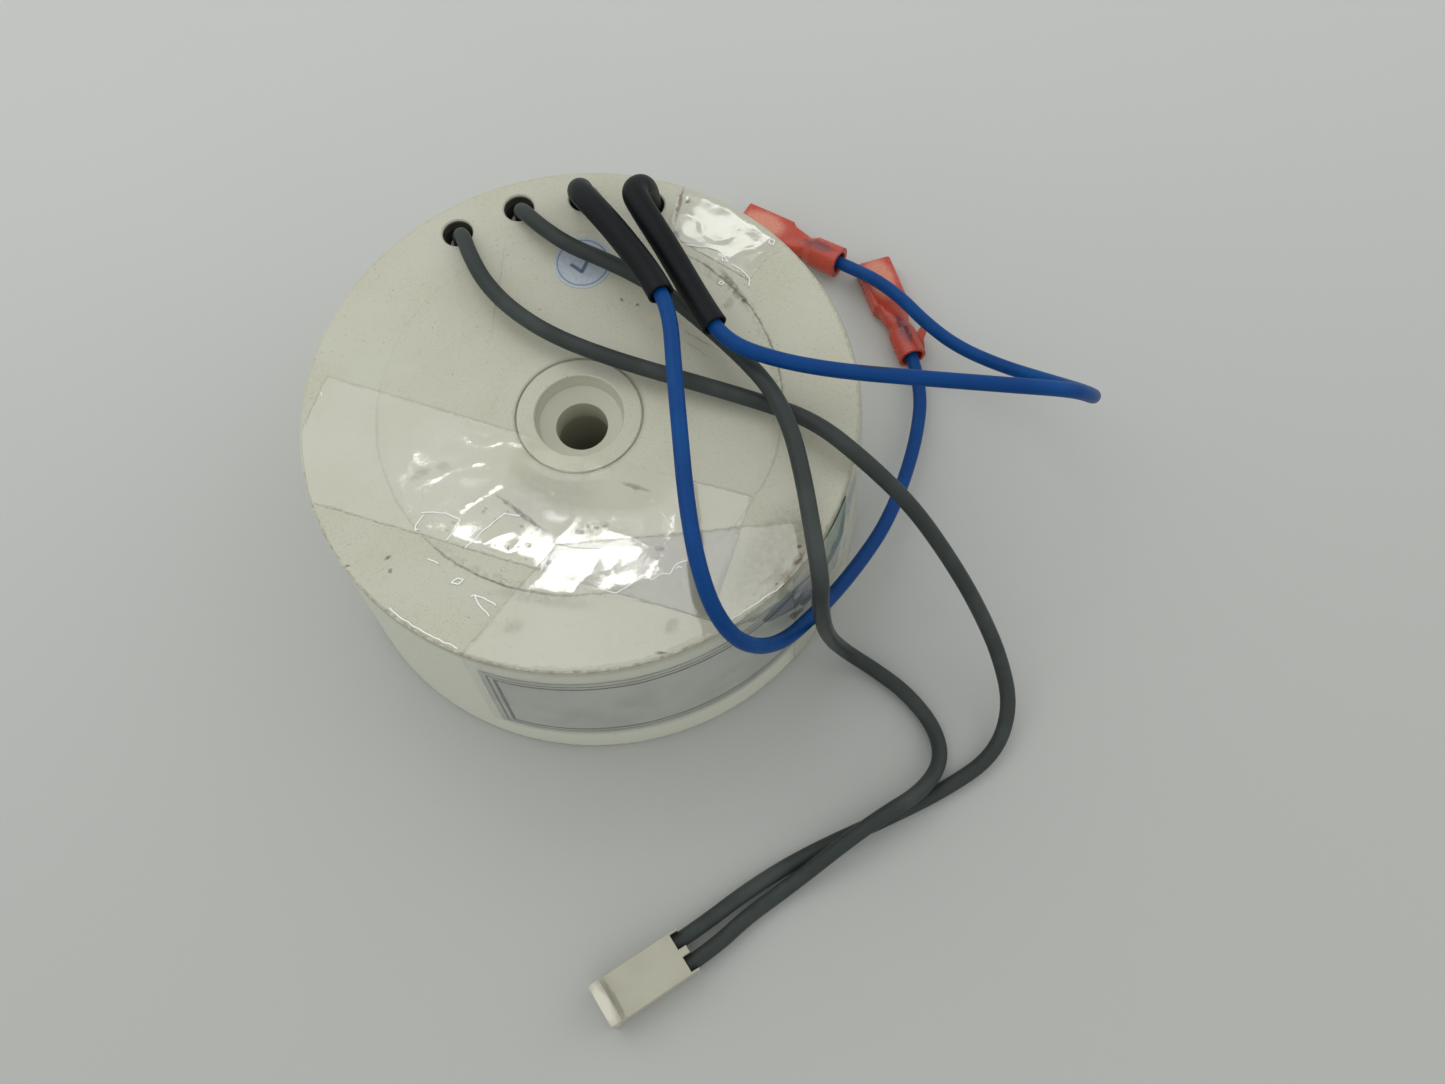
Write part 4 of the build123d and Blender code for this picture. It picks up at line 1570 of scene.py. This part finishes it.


# Folds of the film seen from above, in millimetres, drawn as near-white tubes that stand for painted
# glints
GLINT_RIDGES: tuple[tuple[Flat, ...], ...] = (
    ((-30.8, -14.0), (-32.7, -15.5), (-33.0, -16.4), (-32.3, -16.2)),
    ((-31.6, -22.1), (-30.9, -22.9), (-30.1, -23.6)),
    ((-28.6, -27.6), (-27.4, -26.9), (-26.4, -27.5), (-27.4, -28.1), (-28.6, -27.6)),
    ((-25.9, -31.0), (-25.4, -30.8), (-24.6, -33.0), (-23.6, -35.2)),
    ((-25.4, -30.8), (-23.6, -31.9), (-22.1, -33.6)),
    ((-39.5, -29.2), (-38.1, -31.3), (-36.3, -33.3), (-33.2, -36.3), (-29.7, -39.3)),
    ((-27.9, -19.6), (-26.4, -18.2), (-25.0, -16.5)),
    ((-25.0, -16.5), (-27.0, -14.6), (-28.9, -13.8), (-31.3, -13.4)),
    ((-25.2, -21.9), (-21.4, -19.4), (-17.4, -17.3), (-14.9, -18.4)),
    ((-9.9, -25.2), (-6.5, -26.9), (-3.0, -28.1)),
    ((-13.6, -29.5), (-11.6, -27.2), (-9.9, -25.2)),
    ((-4.5, -35.3), (-3.1, -36.2), (-1.9, -36.8), (0.6, -36.1), (3.3, -35.0), (4.1, -36.1), (6.1, -35.5)),
    ((6.1, -35.5), (7.6, -35.9), (9.0, -34.6), (10.9, -34.4)),
    ((-0.1, -34.4), (0.3, -34.0), (0.7, -34.4), (0.3, -34.8), (-0.1, -34.4)),
    ((-3.1, -32.0), (-2.7, -31.6), (-2.3, -32.0), (-2.7, -32.4), (-3.1, -32.0)),
    ((8.9, -35.4), (9.3, -35.0), (9.8, -35.4)),
    ((41.9, 23.2), (42.5, 24.3), (43.1, 23.6), (42.6, 22.7), (41.9, 23.2)),
    ((26.8, 27.2), (29.8, 25.9), (32.4, 24.2), (33.4, 21.4)),
    ((33.4, 21.4), (32.4, 21.9), (32.7, 22.8), (33.8, 22.6)),
    ((34.1, 20.5), (35.4, 18.9), (36.2, 16.9), (35.7, 15.1)),
    ((30.5, 17.4), (30.9, 17.8), (31.3, 17.3), (30.9, 16.9), (30.5, 17.4)),
    ((15.1, -46.8), (19.6, -45.2), (24.1, -43.4), (25.7, -42.7)),
)


@dataclass
class GlintRidges:
    """Small folds and lifted edges of the film, painted near-white as glints."""

    name: str = "film_glint_ridges"
    radius: float = 0.13
    lift: float = 0.12
    sides: int = 10
    step: float = 0.3
    ragged: float = 0.25

    def build(self, sheet: CanSheet, tubes: TubeTree, material: bpy.types.Material) -> None:
        """Raise the folds.

        Args:
            sheet: The can's outside.
            tubes: The tree that wraps a tube round a line.
            material: Their finish.
        """
        places: list[Vector] = []
        edges: list[tuple[int, int]] = []
        for ridge in GLINT_RIDGES:
            first = len(places)
            for start, end in zip(ridge, ridge[1:]):
                steps = max(1, round(math.dist(start, end) / self.step))
                for index in range(steps):
                    places.append(sheet.place(self._between(start, end, index / steps), self.lift))
            places.append(sheet.place(ridge[-1], self.lift))
            edges += [(index, index + 1) for index in range(first, len(places) - 1)]
        made = Craft.shape(self.name, places, edges)
        tubes.wrap(made, self.radius, self.sides, material)
        Craft.baked(made)
        Craft.report(made, Slot.TAPE)

    def _between(self, start: Flat, end: Flat, share: float) -> Flat:
        """A spot between two spots, slightly off the straight line."""
        spot = between(start, end, share)
        return jitter(spot, Vector((*spot, 0.0)) * 0.6, self.ragged, Vector((3, 1, 0)))


@dataclass
class Bubbles:
    """Air bubbles under the film on the can's top."""

    name: str = "film_bubbles"
    corners: tuple[Flat, ...] = (
        (-34.0, -14.0),
        (-24.0, -9.0),
        (10.0, -30.0),
        (12.0, -40.0),
        (-16.0, -36.0),
        (-30.0, -27.0),
    )
    density: float = 0.05
    smallest: float = 0.15
    largest: float = 0.55
    seed: int = 7

    def build(self, sheet: CanSheet, bubbles: BubbleTree, material: bpy.types.Material) -> None:
        """Scatter the bubbles.

        Args:
            sheet: The can's outside.
            bubbles: The tree that scatters them.
            material: Their finish.
        """
        places = [sheet.place(corner, 0.0) for corner in self.corners]
        made = Craft.shape(self.name, places, faces=[tuple(range(len(places)))])
        values = {
            "Density": self.density / MM**2,
            "Smallest": self.smallest * MM,
            "Largest": self.largest * MM,
            "Seed": self.seed,
            "Material": material,
        }
        bubbles.apply(made, values)
        Craft.baked(made)
        Craft.report(made, Slot.TAPE)


@dataclass
class Studio:
    """Floor, lamps and camera."""

    focal_length: float = 32.387
    sensor_width: float = 36.0
    camera_place: Point = (0.0, -0.113, 0.251)
    camera_turns: Point = (-12.4, 21.7, -3.0)
    aim: Point = (0.0, 0.0, 0.03)
    floor_half: float = 20.0
    floor_level: float = -0.00005
    world_colour: Colour = (0.97, 0.99, 1.0, 1.0)
    world_strength: float = 0.77

    def build(self) -> None:
        """Set the scene up round the part."""
        self._camera()
        self._floor()
        self._world()
        self._lamp("key", (-0.42, 0.55, 1.0), (1.2, 1.2), 3.3)
        self._lamp("fill", (1.0, 0.1, 0.8), (1.2, 1.2), 2.0)
        self._lamp("window", (-0.037, 0.43, 0.94), (0.09, 0.04), 0.09)
        self._lamp("side_window", (0.178, 0.586, 0.862), (0.09, 0.05), 0.06)
        bpy.context.scene.view_settings.view_transform = "Standard"

    def _camera(self) -> None:
        """Stand the camera where the photograph was taken."""
        data = bpy.data.cameras.new("camera")
        data.lens = self.focal_length
        data.sensor_width = self.sensor_width
        data.clip_start = 0.01
        made = Craft.link("camera", data)
        heading, tilt, roll = (math.radians(turn) for turn in self.camera_turns)
        turned = Matrix.Rotation(heading, 4, "Z") @ Matrix.Rotation(tilt, 4, "X")
        turned = turned @ Matrix.Rotation(roll, 4, "Z")
        made.matrix_world = Matrix.Translation(self.camera_place) @ turned
        bpy.context.scene.camera = made

    def _floor(self) -> None:
        """Lay the pale floor, painted darker towards the front as painted light falloff."""
        signs = ((-1, -1), (1, -1), (1, 1), (-1, 1))
        places = [(x * self.floor_half, y * self.floor_half, self.floor_level) for x, y in signs]
        made = Craft.shape("floor", places, faces=[(0, 1, 2, 3)])
        shade = Shade("floor")
        _, y, _ = shade.axes(shade.place())
        # Painted light falloff: the floor is painted darker towards the front
        colour = shade.mix(linear(195, 197, 193), linear(177, 178, 173), y.fade(190.0, -130.0))
        colour = shade.mix(colour, linear(178, 179, 174), shade.noise(0.012, 3.0, 0.5) * 0.25)
        made.data.materials.append(shade.surface(Base_Color=colour, Roughness=0.8))

    def _world(self) -> None:
        """Light everything evenly from all round."""
        world = bpy.data.worlds.new("studio")
        bpy.context.scene.world = world
        world.use_nodes = True
        back = world.node_tree.nodes["Background"]
        back.inputs["Color"].default_value = self.world_colour
        back.inputs["Strength"].default_value = self.world_strength

    def _lamp(self, name: str, place: Point, size: Flat, power: float) -> None:
        """Hang a soft lamp that points at the part.

        Args:
            name: The lamp's name.
            place: Where it hangs, in metres.
            size: Its two sides, in metres.
            power: Its power in watts.
        """
        data = bpy.data.lights.new(name, "AREA")
        data.shape = "RECTANGLE"
        data.size, data.size_y = size
        data.energy = power
        made = Craft.link(name, data)
        turned = (Vector(self.aim) - Vector(place)).to_track_quat("-Z", "Y").to_matrix().to_4x4()
        made.matrix_world = Matrix.Translation(place) @ turned


class Transformer:
    """The whole part, piece by piece."""

    def __init__(self, frame: dict[str, Any]) -> None:
        """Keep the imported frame."""
        subparts = frame["record"]["subparts"]
        self.nodes: dict[str, bpy.types.Object] = frame["nodes"]
        self.slots = {row["node"]: Slot(row["material_slot"]) for row in subparts}
        self.sheet = CanSheet()
        self.tubes = TubeTree()
        self.label = LabelSheet()
        self.finishes = self._finishes()

    def _finishes(self) -> dict[Slot, bpy.types.Material]:
        """Make every finish."""
        grey = (linear(54, 60, 58), linear(78, 84, 81), linear(38, 41, 39))
        blue = (linear(0, 58, 118), linear(8, 82, 148), linear(0, 38, 80))
        black = (linear(13, 17, 19), linear(28, 33, 34), linear(8, 9, 10))
        bush = (linear(188, 187, 169), linear(183, 180, 156), linear(194, 193, 175))
        resin = (linear(26, 24, 22), linear(15, 14, 13))
        steel = (linear(150, 150, 152), linear(120, 120, 124))
        wrap = (linear(206, 178, 110), linear(180, 150, 84))
        nylon = (linear(176, 174, 156), linear(166, 163, 144))
        tin = (linear(200, 200, 200), linear(160, 160, 160))
        red = (linear(184, 68, 46), linear(164, 54, 38))
        brass = (linear(196, 160, 90), linear(150, 110, 60))
        green = (linear(22, 92, 56), linear(52, 118, 80))
        makers = {
            Slot.CAN: CanMoulding("can_moulding", marks=CAN_MARKS, creased=True),
            Slot.BUSH: CanMoulding("bush_moulding", *bush),
            Slot.RESIN: Moulding("resin", *resin, 0.42, relief=0.05),
            Slot.CORE: Moulding("core_steel", *steel, 0.4, 1.0),
            Slot.FILM_WRAP: Moulding("winding_film", *wrap, 0.3),
            Slot.WINDING: WoundWire("winding_wire"),
            Slot.SPLICE: Moulding("splice_cap", linear(210, 206, 190), linear(190, 186, 170)),
            Slot.CUTOUT: Moulding("cutout_body", linear(196, 192, 180), linear(172, 168, 152)),
            Slot.GREY_LEAD: LeadJacket("grey_insulation", *grey),
            Slot.BLUE_LEAD: LeadJacket("blue_insulation", *blue, marks=BLUE_LEAD_MARKS),
            Slot.SLEEVE: LeadJacket("sleeve_black", *black, 0.45),
            Slot.HOUSING: Moulding("housing_nylon", *nylon, 0.42, scatter=0.15, marks=HOUSING_PAINTED_LIGHT),
            Slot.CONTACT: Moulding("tinned_contact", *tin, 0.3, 1.0),
            Slot.COVER: Moulding("cover_red", *red, 0.28, scatter=0.3, marks=COVER_MARKS),
            Slot.RECEPTACLE: Moulding("terminal_brass", *brass, 0.35, 1.0),
            Slot.LABEL: LabelPaper("label_paper", self.label.width(), self.label.height()),
            Slot.PATCH: Moulding("patch_green", *green, 0.6, scale=1.2),
            Slot.STICKER: InspectionSticker("sticker_silver"),
            Slot.TAPE: ClearFilm("clear_tape"),
        }
        return {slot: maker.build() for slot, maker in makers.items()}

    def build(self) -> None:
        """Dress the solids and make the pieces that replace some of them."""
        for name, made in self.nodes.items():
            Craft.dress(made, self.finishes[self.slots[name]])
            LOG.info("solid %s dressed in %s", name, self.slots[name].value)
        self._leads()
        seam_tones = (linear(150, 146, 128), linear(124, 118, 100))
        dust = Moulding("seam_ring", *seam_tones, 0.8, relief=0.04).build()
        SeamRing().build(self.tubes, dust)
        self.label.build(self.sheet, self.finishes[Slot.LABEL])
        self._films()

    def _leads(self) -> None:
        """Lay the four leads with what is on them."""
        for suffix, route in (("a", GREY_A_ROUTE), ("b", GREY_B_ROUTE)):
            lead = Lead(f"grey_lead_{suffix}", f"lead_grey_{suffix}", route, 3.0, Slot.GREY_LEAD)
            made = lead.build(self.finishes[lead.slot])
            lead.declare()
        for suffix, route, last_corner in (("a", BLUE_A_ROUTE, 5), ("b", BLUE_B_ROUTE, 6)):
            lead = Lead(f"blue_lead_{suffix}", f"lead_blue_{suffix}", route, 2.8, Slot.BLUE_LEAD)
            made = lead.build(self.finishes[lead.slot])
            sleeve = Sleeve(f"sleeve_{suffix}", f"sleeve_blue_{suffix}", lead, last_corner)
            tube = sleeve.build(self.tubes, self.finishes[Slot.SLEEVE])
            lead.declare()

    def _films(self) -> None:
        """Stick the films on, with the bubbles in them."""
        film = self.finishes[Slot.TAPE]
        left = [(-56.0, -2.1), (12.0, -45.9), (25.0, -25.7), (-43.0, 18.0)]
        front = [(-38.0, -47.0), (-9.8, -25.4), (34.0, -33.0), (42.0, -56.0), (-28.0, -62.0)]
        back = [(35.0, 51.0), (24.6, 32.5), (26.1, 28.1), (36.1, 16.3), (40.4, 19.9), (54.0, 27.0)]
        films = (
            FilmPiece("film_left", "tape_left", left, (0,), low=30.0, lift=0.02, seed=3),
            FilmPiece("film_front", "tape_front", front, (0, 1), low=9.0, lift=0.26, seed=11, pleat=0.4),
            FilmPiece("film_back", "tape_back", back, (1, 2, 3), low=24.0, lift=0.02, seed=23, pleat=0.25),
        )
        for piece in films:
            piece.build(self.sheet, film)
        WallFilm().build(self.sheet, ClearFilm("loose_film", haze=0.24).build())
        Bubbles().build(self.sheet, BubbleTree(), film)
        # Near-white finish of the folds, a painted glint
        glint_white = Moulding("glint_white_film", linear(250, 250, 246), linear(238, 238, 232), 0.2).build()
        GlintRidges().build(self.sheet, self.tubes, glint_white)


def corners(box: Sequence[Any]) -> list[list[float]]:
    """A box as plain lists of numbers."""
    return [[float(value) for value in corner] for corner in box]


def main() -> None:
    """Build the part in its studio."""
    logging.basicConfig(level=logging.INFO, format="%(message)s")
    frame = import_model()
    Studio().build()
    Transformer(frame).build()


if __name__ == "__main__":
    main()
